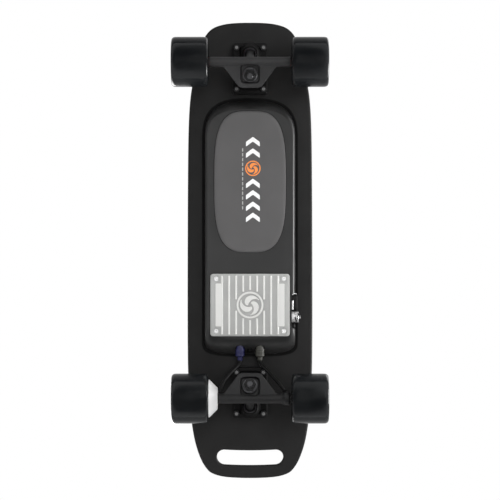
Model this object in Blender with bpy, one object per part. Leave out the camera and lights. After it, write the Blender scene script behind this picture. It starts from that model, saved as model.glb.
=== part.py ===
"""Electric skateboard: a concave deck with a handle, a battery casing, two trucks and two hub motors.

Metres, +Z up. The nose points to +Y and X runs across the deck. The origin is on the ground, 2 mm ahead of the
middle of the deck's length. Each truck is drawn around its axle's centre with +Y pointing outboard, to the deck's tip.
"""

import math

import bmesh
import bpy
from mathutils import Matrix, Vector

# Clearance between pieces that touch.
GAP = 0.0003

# Deck. Profiles give the half width at a distance from the tip.
DECK_NOSE_Y = 0.3525
DECK_TAIL_Y = -0.3565
DECK_HALF_WIDTH = 0.097
DECK_THICKNESS = 0.0115
DECK_UNDERSIDE = 0.1105
DECK_EDGE_RADIUS = 0.004
CONCAVE_RISE = 0.0045
CONCAVE_START = 0.55
CONCAVE_FADE = 0.09
KICK_LENGTH = 0.115
KICK_RISE = 0.0200
KICK_POWER = 2.2
NOSE_PROFILE = (
    (0.0, 0.008), (0.0002, 0.0160), (0.0011, 0.0300), (0.003, 0.0418), (0.0067, 0.0536), (0.0117, 0.0616),
    (0.0217, 0.0698), (0.040, 0.0777), (0.107, 0.0913), (0.122, 0.0931), (0.142, 0.0945), (0.172, 0.0956),
    (0.212, 0.0962), (0.292, 0.0967), (0.452, DECK_HALF_WIDTH),
)
TAIL_PROFILE = (
    (0.0, 0.008), (0.0003, 0.0170), (0.001, 0.0310), (0.0033, 0.0465), (0.0088, 0.0610), (0.0148, 0.0672),
    (0.0248, 0.0737), (0.0348, 0.0782), (0.0548, 0.0847), (0.0748, 0.0888), (0.109, 0.0930), (0.170, 0.0963),
    (0.205, 0.0968), (0.255, DECK_HALF_WIDTH),
)
NOSE_STATIONS = (0.0, 0.001, 0.003, 0.006, 0.011, 0.019, 0.029, 0.045, 0.080, 0.130, 0.200)
TAIL_STATIONS = (
    0.260, 0.185, 0.140, 0.110, 0.090, 0.072, 0.056, 0.043, 0.030, 0.019, 0.011, 0.006, 0.003, 0.001, 0.0,
)
SECTION_FRACTIONS = (0.0, CONCAVE_START, 0.78, 1.0)
GRIP_THICKNESS = 0.0013
GRIP_GAP = 0.0008
GRIP_MARGIN = 0.0045

# Handle slot: a bar with round ends, bowed towards the tail.
HANDLE_HALF_LENGTH = 0.0515
HANDLE_HALF_WIDTH = 0.012
HANDLE_BOW = 0.002
HANDLE_Y = -0.3216

# Battery display on the deck.
DISPLAY_SIZE = (0.033, 0.021, 0.0035)
DISPLAY_Y = -0.036
DISPLAY_RADIUS = 0.002

# Battery casing: half width, tips and how deep it hangs in front and at the back.
CASING_HALF_WIDTH = 0.070
CASING_FRONT = 0.231
CASING_REAR = -0.161
CASING_FRONT_ROUND = 0.063
CASING_REAR_ROUND = 0.024
CASING_FRONT_POWER = 2.9
CASING_REAR_POWER = 3.5
CASING_DEPTH_FRONT = 0.0215
CASING_DEPTH_REAR = 0.0265
CASING_STEP = (0.008, -0.033)
CASING_WALL = 0.003
CASING_SIDE_INSET = 0.0045
CASING_FRONT_INSET = 0.015
CASING_REAR_INSET = 0.0255
GASKET_THICKNESS = 0.001
GASKET_MARGIN = 0.0040
GASKET_WIDTH = 0.0068

# Label plate and heatsink under the casing.
LABEL_HALF_WIDTH = 0.055
LABEL_FRONT = 0.2135
LABEL_REAR = -0.0035
LABEL_POWER = 3.3
LABEL_THICKNESS = 0.0028
HEATSINK_SIZE = (0.1216, 0.0958, 0.0025)
HEATSINK_Y = -0.0842
HEATSINK_RADIUS = 0.004
HEATSINK_BOSS = (0.098, 0.074, 0.0050)
HEATSINK_RIB_PITCH = 0.0107
HEATSINK_RIB = (0.003, 0.0018)
HEATSINK_DISC_RADIUS = 0.0215

# What the casing holds.
BATTERY_SIZE = (0.104, 0.200, 0.016)
BATTERY_Y = 0.098
CONTROLLER_SIZE = (0.094, 0.074, 0.014)

# Button and charge port, on the left side wall.
BUTTON_Y = -0.081
BUTTON_HALF = (0.0115, 0.005)
BUTTON_X = (-0.0705, -0.0600)
FITTING_Z = 0.0965
PORT_Y = -0.103
PORT_RADIUS = 0.0070
PORT_FLANGE_RADIUS = 0.0085
PORT_BORE_RADIUS = 0.0048
PORT_X = (-0.0715, -0.0570)
PORT_FLANGE_X = (-0.0700, -0.0686)
PORT_BORE_DEPTH = 0.0095
CAP_FACE_X = -0.0745
CAP_NUB_X = -0.0775
CAP_NUB_RADIUS = 0.0025
TETHER_RADIUS = 0.0008

# Motor plugs and leads, at the casing's rear end.
PLUG_X = 0.0153
PLUG_RADIUS = 0.0070
PLUG_Y = (-0.1400, -0.1640)
LEAD_RADIUS = 0.0025
LEAD_ROUTE = (
    (0.0153, -0.1704, 0.0965), (0.0155, -0.1728, 0.0960), (0.0168, -0.1755, 0.0935), (0.0198, -0.1790, 0.0895),
    (0.0248, -0.1835, 0.0838), (0.0310, -0.1895, 0.0765), (0.0370, -0.1960, 0.0685),
)
LEAD_ENDS = {
    "left": ((0.0435, -0.2025, 0.0610), (0.0485, -0.2085, 0.0550), (0.0525, -0.2135, 0.0510)),
    "right": ((0.0415, -0.2025, 0.0610), (0.0440, -0.2080, 0.0550), (0.0452, -0.2125, 0.0508)),
}

# Wheels.
WHEEL_RADIUS = 0.0375
WHEEL_WIDTH = 0.055
WHEEL_CENTRE = 0.0905
FRONT_AXLE_Y = 0.2830
REAR_AXLE_Y = -0.2235

# A front wheel's core, bearings and nut, measured along the axle from the wheel's middle where not a radius.
TYRE_BORE_RADIUS = 0.0207
CORE_HALF_WIDTH = 0.0180
CORE_RADIUS = 0.0203
CORE_BORE_RADIUS = 0.0113
SPOKES = 8
SPOKE_WINDOW_RADII = (0.0137, 0.0183)
SPOKE_WINDOW_ANGLES = (14, 16)
BEARING_RADIUS = 0.0110
BEARING_REACH = (0.0105, 0.0175)
SPACER_RADIUS = 0.0060
AXLE_NUT_RADIUS = 0.0065
AXLE_NUT_REACH = (0.0180, 0.0245)

# A rear wheel's hub motor, measured the same way. Negative is towards the hanger.
CAN_RADIUS = 0.0300
CAN_INNER_RADIUS = 0.0272
CAN_BORE_RADIUS = 0.0078
CAN_REACH = (-0.0250, 0.0212)
CAN_WALL = 0.0030
COVER_RADIUS = 0.0310
COVER_SPIGOT_RADIUS = 0.0298
COVER_REACH = (0.0215, 0.0243, 0.0272)
COVER_HOLLOW = (0.0255, 0.0080)
STATOR_RADIUS = 0.0264
STATOR_REACH = (-0.0200, 0.0190)
STATOR_SHAFT_RADIUS = 0.0070
STATOR_SHAFT_END = -0.0302

# The right hub motor's conical flange round the hanger's end, measured along the axle from the board's middle.
FLANGE_REACH = (0.0487, 0.0622)
FLANGE_RADII = (0.0165, 0.0285)
FLANGE_BORE_RADIUS = 0.0108

# Truck, in its own frame: Y outboard and Z up from the axle's centre.
RISER_SIZE = (0.053, 0.078, 0.012)
BASE_SIZE = (0.053, 0.078, 0.006)
BASE_Y = -0.004
BASE_RADIUS = 0.004
HOUSING_LOW = 0.037
HOUSING_NARROW = (0.025, 0.056)
HOUSING_WIDE = (0.031, 0.070)
HOUSING_SHIFT = 0.002
KINGPIN_SEAT_RADII = (0.0125, 0.0140, 0.0150)
KINGPIN_HEAD_ROOM = 0.0096
PIVOT_BOSS_RADIUS = 0.0128
NUT_ROOM_RADIUS = 0.0062
BOLT_SPACING = (0.0413, 0.0635)
BOLT_RADIUS = 0.0025
BOLT_HEAD_RADIUS = 0.0047
BOLT_HEAD_HEIGHT = 0.0026
BOLT_HOLE_RADIUS = 0.0029
NUT_RADIUS = 0.0047
NUT_HEIGHT = 0.0042
RING_CENTRE = Vector((0.0, -0.015, 0.010))
PIVOT_CENTRE = Vector((0.0, 0.018, 0.037))
STEM_FOOT = Vector((0.0, 0.001, 0.003))
KINGPIN_TILT = math.radians(18)
KINGPIN_RADIUS = 0.0048
KINGPIN_REACH = (-0.0270, 0.0418, 0.0470)
KINGPIN_HEAD_RADIUS = 0.0085
KINGPIN_NUT_RADIUS = 0.0095
CUP_WASHER_RADIUS = 0.0112
RING_HALF = 0.005
BUSHING_RADIUS = 0.0105
UPPER_SEAT = 0.0186
LOWER_SEAT = -0.0150
BEAM_RADIUS = 0.0078
GUSSET_CORNERS = (
    (0.0125, -0.0213), (0.0172, -0.0196), (0.0202, -0.0155), (0.0393, 0.0105), (0.0393, 0.0165),
)
GUSSET_LOW = -0.011
POCKET_HALF = 0.0142
PIVOT_RADIUS = 0.007
CUP_RADIUS = 0.0098
AXLE_RADIUS = 0.004

# Facets around round pieces.
SEGMENTS = 24
WHEEL_SEGMENTS = 28
FINE_SEGMENTS = 16
AXLE_SEGMENTS = 16
BOLT_SEGMENTS = 8


# --- Materials -------------------------------------------------------------------------------------------------


def make_material(name, colour, roughness, metallic=0.0):
    material = bpy.data.materials.new(name)
    material.use_nodes = True
    shader = material.node_tree.nodes["Principled BSDF"]
    shader.inputs["Base Color"].default_value = (*colour, 1.0)
    shader.inputs["Roughness"].default_value = roughness
    shader.inputs["Metallic"].default_value = metallic
    return material


def make_materials():
    table = {
        "deck": ((0.020, 0.020, 0.021), 0.45, 0.0),
        "grip": ((0.012, 0.012, 0.012), 0.80, 0.0),
        "casing": ((0.040, 0.040, 0.041), 0.50, 0.0),
        "label": ((0.120, 0.118, 0.120), 0.40, 0.0),
        "aluminium": ((0.620, 0.620, 0.620), 0.40, 1.0),
        "black_metal": ((0.018, 0.018, 0.019), 0.40, 0.6),
        "steel": ((0.560, 0.560, 0.570), 0.28, 1.0),
        "urethane": ((0.012, 0.013, 0.015), 0.25, 0.0),
        "bushing": ((0.030, 0.030, 0.032), 0.50, 0.0),
        "core": ((0.750, 0.080, 0.020), 0.35, 0.0),
        "rubber": ((0.018, 0.018, 0.018), 0.70, 0.0),
        "cable": ((0.012, 0.012, 0.013), 0.55, 0.0),
        "lens": ((0.450, 0.470, 0.520), 0.10, 0.0),
        "cells": ((0.050, 0.120, 0.350), 0.45, 0.0),
        "board": ((0.020, 0.160, 0.070), 0.50, 0.0),
        "copper": ((0.720, 0.330, 0.150), 0.35, 1.0),
    }
    return {name: make_material(name, *values) for name, values in table.items()}


# --- Mesh helpers ----------------------------------------------------------------------------------------------


def add_object(name, data, material):
    obj = bpy.data.objects.new(name, data)
    bpy.context.scene.collection.objects.link(obj)
    if material is not None:
        data.materials.append(material)
    return obj


def solid(name, verts, faces, material=None, smooth=True):
    """A closed mesh object from points and faces, with its faces turned outwards."""
    shape = bmesh.new()
    points = [shape.verts.new(v) for v in verts]
    for face in faces:
        shape.faces.new([points[i] for i in face])
    bmesh.ops.recalc_face_normals(shape, faces=shape.faces)
    mesh = bpy.data.meshes.new(name)
    shape.to_mesh(mesh)
    shape.free()
    if smooth:
        mesh.shade_smooth()
        mesh.set_sharp_from_angle(angle=math.radians(35))
    return add_object(name, mesh, material)


def bridge(count, rings):
    """Quads between consecutive rings of the same number of points."""
    faces = []
    for ring in range(rings - 1):
        low = ring * count
        for i in range(count):
            j = (i + 1) % count
            faces.append((low + i, low + j, low + count + j, low + count + i))
    return faces


def loft(name, rings, material=None, smooth=True):
    """A solid through rings of points, with a flat face over each end."""
    count = len(rings[0])
    verts = [point for ring in rings for point in ring]
    last = (len(rings) - 1) * count
    faces = bridge(count, len(rings))
    faces.append(tuple(range(count)))
    faces.append(tuple(range(last, last + count)))
    return solid(name, verts, faces, material, smooth)


def prism(name, outline, low, high, material=None, frame=Matrix(), smooth=True):
    """An outline in XY, extruded from low to high along Z, and moved by frame."""
    rings = [[frame @ Vector((x, y, z)) for x, y in outline] for z in (low, high)]
    return loft(name, rings, material, smooth)


def turned(name, profile, frame=Matrix(), material=None, segments=SEGMENTS):
    """A profile of (along, radius) points turned about Z. A profile that ends at radius 0 is closed by poles."""
    poles = profile[0][1] == 0
    inner = profile[1:-1] if poles else profile
    verts = []
    for along, radius in inner:
        for i in range(segments):
            angle = 2 * math.pi * i / segments
            verts.append(frame @ Vector((radius * math.cos(angle), radius * math.sin(angle), along)))
    faces = bridge(segments, len(inner))
    last = (len(inner) - 1) * segments
    if poles:
        verts.append(frame @ Vector((0, 0, profile[0][0])))
        verts.append(frame @ Vector((0, 0, profile[-1][0])))
        for i in range(segments):
            j = (i + 1) % segments
            faces.append((j, i, len(verts) - 2))
            faces.append((last + i, last + j, len(verts) - 1))
    else:
        for i in range(segments):
            j = (i + 1) % segments
            faces.append((last + i, last + j, j, i))
    return solid(name, verts, faces, material)


def combine(target, others, operation):
    """Joins or cuts target with each of the others, and removes them."""
    for other in others:
        modifier = target.modifiers.new(operation.lower(), "BOOLEAN")
        modifier.operation = operation
        modifier.object = other
        modifier.solver = "EXACT"
        bpy.context.view_layer.update()
        result = target.evaluated_get(bpy.context.evaluated_depsgraph_get())
        mesh = bpy.data.meshes.new_from_object(result)
        target.modifiers.remove(modifier)
        mesh.name = target.data.name
        target.data = mesh
        bpy.data.objects.remove(other)
    target.data.shade_smooth()
    target.data.set_sharp_from_angle(angle=math.radians(35))
    return target


def frame_along(point, direction):
    """A frame at a point whose Z runs along direction and whose X stays level."""
    z_axis = Vector(direction).normalized()
    x_axis = Vector((1, 0, 0))
    if abs(z_axis.x) > 0.9:
        x_axis = Vector((0, 1, 0))
    y_axis = z_axis.cross(x_axis).normalized()
    x_axis = y_axis.cross(z_axis)
    return Matrix.Translation(point) @ Matrix((x_axis, y_axis, z_axis)).transposed().to_4x4()


def rounded_rectangle(width, depth, radius, centre=(0.0, 0.0), steps=4):
    """Outline of a rectangle with round corners."""
    outline = []
    corners = ((1, 1, 0), (-1, 1, 90), (-1, -1, 180), (1, -1, 270))
    for side_x, side_y, start in corners:
        middle_x = centre[0] + side_x * (width / 2 - radius)
        middle_y = centre[1] + side_y * (depth / 2 - radius)
        for step in range(steps + 1):
            angle = math.radians(start + 90 * step / steps)
            outline.append((middle_x + radius * math.cos(angle), middle_y + radius * math.sin(angle)))
    return outline


def hexagon(radius):
    return [(radius * math.cos(math.pi * i / 3), radius * math.sin(math.pi * i / 3)) for i in range(6)]


def block(name, size, centre, radius, material=None):
    """A rounded block whose centre is given."""
    outline = rounded_rectangle(size[0], size[1], radius, centre[:2])
    return prism(name, outline, centre[2] - size[2] / 2, centre[2] + size[2] / 2, material)


def smoothstep(value):
    value = min(max(value, 0.0), 1.0)
    return value * value * (3 - 2 * value)


# --- Deck ------------------------------------------------------------------------------------------------------


def profile_half_width(profile, distance):
    """Half width at a distance from a tip: a cubic through the profile, in the root of the distance."""
    knots = [(math.sqrt(d), w) for d, w in profile]
    at = math.sqrt(distance)
    if at >= knots[-1][0]:
        return knots[-1][1]
    slopes = []
    for i in range(len(knots)):
        before = knots[max(i - 1, 0)]
        after = knots[min(i + 1, len(knots) - 1)]
        slopes.append((after[1] - before[1]) / (after[0] - before[0]))
    slopes[-1] = 0.0
    for i in range(len(knots) - 1):
        (x0, w0), (x1, w1) = knots[i], knots[i + 1]
        if x0 <= at <= x1:
            span = x1 - x0
            t = (at - x0) / span
            start = (1 + 2 * t) * (1 - t) ** 2 * w0 + t * (1 - t) ** 2 * span * slopes[i]
            end = t * t * (3 - 2 * t) * w1 + t * t * (t - 1) * span * slopes[i + 1]
            return start + end
    return knots[0][1]


def deck_half_width(y):
    from_nose = max(DECK_NOSE_Y - y, 0.0)
    from_tail = max(y - DECK_TAIL_Y, 0.0)
    return min(profile_half_width(NOSE_PROFILE, from_nose), profile_half_width(TAIL_PROFILE, from_tail))


def from_nearer_tip(y):
    return min(DECK_NOSE_Y - y, y - DECK_TAIL_Y)


def deck_rise(x, y):
    """How far the deck lies above its flat middle: the concave edges and the kick of the tail."""
    across = abs(x) / DECK_HALF_WIDTH
    concave = CONCAVE_RISE * smoothstep((across - CONCAVE_START) / (1 - CONCAVE_START))
    concave *= smoothstep(from_nearer_tip(y) / CONCAVE_FADE)
    from_tail = y - DECK_TAIL_Y
    kick = KICK_RISE * max(1 - from_tail / KICK_LENGTH, 0.0) ** KICK_POWER
    return concave + kick


def deck_stations():
    front = [DECK_NOSE_Y - d for d in NOSE_STATIONS]
    middle = [0.060, -0.020]
    rear = [DECK_TAIL_Y + d for d in TAIL_STATIONS]
    return front + middle + rear


def deck_section(y, margin, low, high, edge):
    """A ring of points across the deck, drawn in by margin, between two heights and with edges of radius edge."""
    inner = deck_half_width(y) - DECK_EDGE_RADIUS
    knots = [(inner * f, deck_rise(inner * f, y)) for f in SECTION_FRACTIONS]
    if margin > 0:
        (x0, rise0), (x1, rise1) = knots[-2:]
        reach = deck_half_width(y) - margin
        knots[-1] = (reach, rise0 + (rise1 - rise0) * (reach - x0) / (x1 - x0))
    inner, rim = knots[-1]
    right = [(x, high + rise) for x, rise in knots]
    for angle in (45, 90):
        bulge = edge * math.sin(math.radians(angle))
        right.append((inner + bulge, high + rim - edge * (1 - math.cos(math.radians(angle)))))
    for angle in (90, 45):
        bulge = edge * math.sin(math.radians(angle))
        right.append((inner + bulge, low + rim + edge * (1 - math.cos(math.radians(angle)))))
    right += [(x, low + rise) for x, rise in reversed(knots)]
    left = [(-x, z) for x, z in reversed(right[1:-1])]
    return [(x, y, z) for x, z in right + left]


def handle_outline(margin):
    """The handle slot's outline, wider by margin all round."""
    radius = HANDLE_HALF_WIDTH + margin
    straight = HANDLE_HALF_LENGTH - HANDLE_HALF_WIDTH
    outline = []
    for side in (1, -1):
        for step in range(9):
            angle = math.radians(-90 + 22.5 * step)
            outline.append((side * (straight + radius * math.cos(angle)), side * radius * math.sin(angle)))
        for step in range(1, 6):
            outline.append((side * straight * (1 - step / 3), side * radius))
    bowed = []
    for x, y in outline:
        bow = HANDLE_BOW * (1 - min((x / HANDLE_HALF_LENGTH) ** 2, 1.0))
        bowed.append((x, HANDLE_Y + y - bow))
    return bowed


def bolt_places():
    """The four bolts of a truck, in the truck's frame."""
    for row in (1, -1):
        for side in (-1, 1):
            yield side * BOLT_SPACING[0] / 2, BASE_Y + row * BOLT_SPACING[1] / 2


def make_deck(materials):
    rings = []
    for y in deck_stations():
        short = max(DECK_EDGE_RADIUS - from_nearer_tip(y), 0.0)
        inset = DECK_EDGE_RADIUS - math.sqrt(DECK_EDGE_RADIUS**2 - short**2)
        edge = max(DECK_EDGE_RADIUS - inset, GAP)
        low = DECK_UNDERSIDE + inset
        high = DECK_UNDERSIDE + DECK_THICKNESS - inset
        rings.append(deck_section(y, 0.0, low, high, edge))
    deck = loft("deck", rings, materials["deck"])
    top = DECK_UNDERSIDE + DECK_THICKNESS
    cutters = [prism("slot", handle_outline(0.0), 0.08, 0.18)]
    for axle_y, outboard in ((FRONT_AXLE_Y, 1), (REAR_AXLE_Y, -1)):
        for x, y in bolt_places():
            place = Matrix.Translation((x, axle_y + outboard * y, 0))
            head = BOLT_HEAD_RADIUS + GAP
            seat = top - BOLT_HEAD_HEIGHT - GAP
            profile = (
                (0.08, 0), (0.08, BOLT_HOLE_RADIUS), (seat, BOLT_HOLE_RADIUS), (top, head), (0.15, head), (0.15, 0),
            )
            cutters.append(turned("hole", profile, place, segments=BOLT_SEGMENTS))
    pocket = rounded_rectangle(
        DISPLAY_SIZE[0] + 2 * GAP, DISPLAY_SIZE[1] + 2 * GAP, DISPLAY_RADIUS + GAP, (0, DISPLAY_Y)
    )
    display_top = top + GRIP_GAP + GRIP_THICKNESS
    cutters.append(prism("pocket", pocket, display_top - DISPLAY_SIZE[2] - GAP, 0.15))
    return combine(deck, cutters, "DIFFERENCE")


def make_grip(materials):
    stations = [y for y in deck_stations() if from_nearer_tip(y) > GRIP_MARGIN + 0.002]
    stations = [DECK_NOSE_Y - GRIP_MARGIN] + stations + [DECK_TAIL_Y + GRIP_MARGIN]
    low = DECK_UNDERSIDE + DECK_THICKNESS + GRIP_GAP
    high = low + GRIP_THICKNESS
    rings = []
    for y in stations:
        rings.append(deck_section(y, GRIP_MARGIN, low, high, GAP))
    grip = loft("grip_mat", rings, materials["grip"])
    window = rounded_rectangle(
        DISPLAY_SIZE[0] + 2 * GAP, DISPLAY_SIZE[1] + 2 * GAP, DISPLAY_RADIUS + GAP, (0, DISPLAY_Y)
    )
    cutters = [
        prism("slot", handle_outline(0.001), 0.10, 0.18),
        prism("window", window, 0.10, 0.15),
    ]
    return combine(grip, cutters, "DIFFERENCE")


def make_display(materials):
    high = DECK_UNDERSIDE + DECK_THICKNESS + GRIP_GAP + GRIP_THICKNESS
    centre = (0, DISPLAY_Y, high - DISPLAY_SIZE[2] / 2)
    return block("display_lens", DISPLAY_SIZE, centre, DISPLAY_RADIUS, materials["lens"])


# --- Casing and what it holds ----------------------------------------------------------------------------------


def casing_outline(side_inset, front_inset, rear_inset):
    """Plan of the casing from the front tip, down the right side, round the rear tip and back."""
    half = CASING_HALF_WIDTH - side_inset
    front_middle = CASING_FRONT - CASING_FRONT_ROUND
    rear_middle = CASING_REAR + CASING_REAR_ROUND + rear_inset
    right = []
    for step in range(1, 8):
        angle = math.radians(90 - 90 * step / 7)
        x = half * math.cos(angle) ** (2 / CASING_FRONT_POWER)
        y = (CASING_FRONT_ROUND - front_inset) * max(math.sin(angle), 0.0) ** (2 / CASING_FRONT_POWER)
        right.append((x, front_middle + y))
    for y in (CASING_STEP[0], -0.005, -0.012, -0.020, CASING_STEP[1]):
        right.append((half, y))
    for step in range(0, 6):
        angle = math.radians(90 * step / 6)
        x = half * math.cos(angle) ** (2 / CASING_REAR_POWER)
        y = CASING_REAR_ROUND * math.sin(angle) ** (2 / CASING_REAR_POWER)
        right.append((x, rear_middle - y))
    left = [(-x, y) for x, y in reversed(right)]
    return [(0.0, CASING_FRONT - front_inset)] + right + [(0.0, CASING_REAR + rear_inset)] + left


def casing_depth(y):
    """How deep the casing hangs below its rim, from the shallow front to the deeper rear."""
    along = (CASING_STEP[0] - y) / (CASING_STEP[0] - CASING_STEP[1])
    return CASING_DEPTH_FRONT + (CASING_DEPTH_REAR - CASING_DEPTH_FRONT) * smoothstep(along)


def casing_rim():
    return DECK_UNDERSIDE - GASKET_THICKNESS - 2 * GAP


def casing_ring(drop, narrowing, thickness=0.0):
    """A ring of the casing at a share of its depth, drawn in by a share of each slope and by thickness."""
    outline = casing_outline(
        CASING_SIDE_INSET * narrowing + thickness,
        CASING_FRONT_INSET * narrowing + thickness,
        CASING_REAR_INSET * narrowing + thickness,
    )
    return [(x, y, casing_rim() - drop * (casing_depth(y) - thickness)) for x, y in outline]


def strip_cap(count, offset):
    """Faces over a ring whose first and middle points are its two tips, as strips across it."""
    faces = [(offset, offset + 1, offset + count - 1)]
    for i in range(1, count // 2 - 1):
        faces.append((offset + i, offset + i + 1, offset + count - i - 1, offset + count - i))
    middle = offset + count // 2
    faces.append((middle - 1, middle, middle + 1))
    return faces


def oval_outline(half_length, half_width, steps=8):
    """A bar with round ends, along X."""
    outline = []
    for side in (1, -1):
        for step in range(steps + 1):
            angle = math.radians(-90 + 180 * step / steps)
            x = half_length - half_width + half_width * math.cos(angle)
            outline.append((side * x, side * half_width * math.sin(angle)))
    return outline


def side_frame(y):
    """A frame on the left side wall at y, whose Z points out of the casing, to the left, and X along the board."""
    return frame_along((0, y, FITTING_Z), (-1, 0, 0))


def make_casing(materials):
    outer = [casing_ring(0.0, 0.0), casing_ring(0.40, 0.24), casing_ring(0.86, 0.72), casing_ring(1.0, 1.0)]
    inner = [casing_ring(1.0, 1.0, CASING_WALL), casing_ring(0.40, 0.24, CASING_WALL)]
    inner += [casing_ring(0.0, 0.0, CASING_WALL)]
    count = len(outer[0])
    verts = [point for ring in outer + inner for point in ring]
    faces = bridge(count, len(outer))
    first_inner = len(outer) * count
    faces += [tuple(index + first_inner for index in face) for face in bridge(count, len(inner))]
    last = (len(outer) + len(inner) - 1) * count
    for i in range(count):
        j = (i + 1) % count
        faces.append((last + i, last + j, j, i))
    faces += strip_cap(count, (len(outer) - 1) * count)
    faces += strip_cap(count, first_inner)
    casing = solid("battery_casing", verts, faces, materials["casing"])
    window = rounded_rectangle(
        HEATSINK_BOSS[0] + 0.002, HEATSINK_BOSS[1] + 0.002, HEATSINK_RADIUS + 0.001, (0, HEATSINK_Y)
    )
    cutters = [prism("window", window, 0.075, 0.095)]
    button_hole = oval_outline(BUTTON_HALF[0] + 0.0005, BUTTON_HALF[1] + 0.0005)
    cutters.append(prism("button_hole", button_hole, 0.055, 0.080, frame=side_frame(BUTTON_Y)))
    seat = -PORT_FLANGE_X[1] - GAP
    hole = PORT_RADIUS + GAP
    spot_face = PORT_FLANGE_RADIUS + 2 * GAP
    port = ((0.055, 0), (0.055, hole), (seat, hole), (seat, spot_face), (0.080, spot_face), (0.080, 0))
    cutters.append(turned("port_hole", port, side_frame(PORT_Y), segments=FINE_SEGMENTS))
    for side in (-1, 1):
        hole = ((0.115, 0), (0.115, PLUG_RADIUS + GAP), (0.180, PLUG_RADIUS + GAP), (0.180, 0))
        rearwards = frame_along((side * PLUG_X, 0, FITTING_Z), (0, -1, 0))
        cutters.append(turned("plug_hole", hole, rearwards, segments=FINE_SEGMENTS))
    return combine(casing, cutters, "DIFFERENCE")


def make_gasket(materials):
    high = DECK_UNDERSIDE - GAP
    low = high - GASKET_THICKNESS
    wide = casing_outline(-GASKET_MARGIN, -GASKET_MARGIN, -GASKET_MARGIN)
    narrow = casing_outline(*[GASKET_WIDTH - GASKET_MARGIN] * 3)
    rings = [[(x, y, high) for x, y in wide], [(x, y, low) for x, y in wide]]
    rings += [[(x, y, low) for x, y in narrow], [(x, y, high) for x, y in narrow]]
    count = len(wide)
    verts = [point for ring in rings for point in ring]
    faces = bridge(count, len(rings))
    last = (len(rings) - 1) * count
    for i in range(count):
        j = (i + 1) % count
        faces.append((last + i, last + j, j, i))
    return solid("casing_gasket", verts, faces, materials["rubber"])


def make_label(materials):
    """A crowned plate of superellipse plan under the casing's front part."""
    half_length = (LABEL_FRONT - LABEL_REAR) / 2
    middle = (LABEL_FRONT + LABEL_REAR) / 2
    steps = 32
    rings = []
    for shrink, drop in ((0.0, 0.0), (0.0, 0.35), (0.0015, 0.75), (0.006, 1.0)):
        ring = []
        for step in range(steps):
            angle = 2 * math.pi * step / steps
            across = math.sin(angle)
            along = math.cos(angle)
            x = (LABEL_HALF_WIDTH - shrink) * math.copysign(abs(across) ** (2 / LABEL_POWER), across)
            y = middle + (half_length - shrink) * math.copysign(abs(along) ** (2 / LABEL_POWER), along)
            z = casing_rim() - casing_depth(y) - GAP - drop * LABEL_THICKNESS
            ring.append((x, y, z))
        rings.append(ring)
    verts = [point for ring in rings for point in ring]
    faces = bridge(steps, len(rings)) + strip_cap(steps, 0) + strip_cap(steps, (len(rings) - 1) * steps)
    return solid("label_plate", verts, faces, materials["label"])


def make_heatsink(materials):
    """A finned plate under the casing with a boss that reaches up to the controller."""
    face = casing_rim() - CASING_DEPTH_REAR - GAP
    low = face - HEATSINK_SIZE[2]
    plate = block(
        "heatsink", HEATSINK_SIZE, (0, HEATSINK_Y, face - HEATSINK_SIZE[2] / 2), HEATSINK_RADIUS,
        materials["aluminium"],
    )
    overlap = HEATSINK_SIZE[2] / 2
    boss_centre = face - overlap + (HEATSINK_BOSS[2] + overlap) / 2
    boss_size = (HEATSINK_BOSS[0], HEATSINK_BOSS[1], HEATSINK_BOSS[2] + overlap)
    pieces = [block("boss", boss_size, (0, HEATSINK_Y, boss_centre), HEATSINK_RADIUS)]
    rib_length = HEATSINK_SIZE[1] - 0.004
    for index in range(-4, 5):
        outline = rounded_rectangle(
            HEATSINK_RIB[0], rib_length, 0.0008, (index * HEATSINK_RIB_PITCH, HEATSINK_Y), steps=1
        )
        pieces.append(prism("rib", outline, low - HEATSINK_RIB[1], low + overlap))
    combine(plate, pieces, "UNION")
    disc = ((-HEATSINK_RIB[1] - 0.001, 0), (-HEATSINK_RIB[1] - 0.001, HEATSINK_DISC_RADIUS))
    disc += ((0.0002, HEATSINK_DISC_RADIUS), (0.0002, 0))
    cutter = turned("disc", disc, Matrix.Translation((0, HEATSINK_Y, low)))
    return combine(plate, [cutter], "DIFFERENCE")


def make_contents(materials):
    """The battery pack and the motor controller."""
    ceiling = DECK_UNDERSIDE - 0.0012
    battery = (0, BATTERY_Y, ceiling - BATTERY_SIZE[2] / 2)
    block("battery_pack", BATTERY_SIZE, battery, 0.010, materials["cells"])
    floor = casing_rim() - CASING_DEPTH_REAR + HEATSINK_BOSS[2]
    controller = (0, HEATSINK_Y, floor + CONTROLLER_SIZE[2] / 2)
    block("motor_controller", CONTROLLER_SIZE, controller, 0.003, materials["board"])


def make_button(materials):
    """The oval power button, which slides into the side wall."""
    anchor = make_empty("power_button_axis", (0, BUTTON_Y, FITTING_Z))
    frame = frame_along((0, 0, 0), (-1, 0, 0))
    button = prism(
        "power_button", oval_outline(*BUTTON_HALF), -BUTTON_X[1], -BUTTON_X[0], materials["rubber"], frame
    )
    button.parent = anchor


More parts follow.
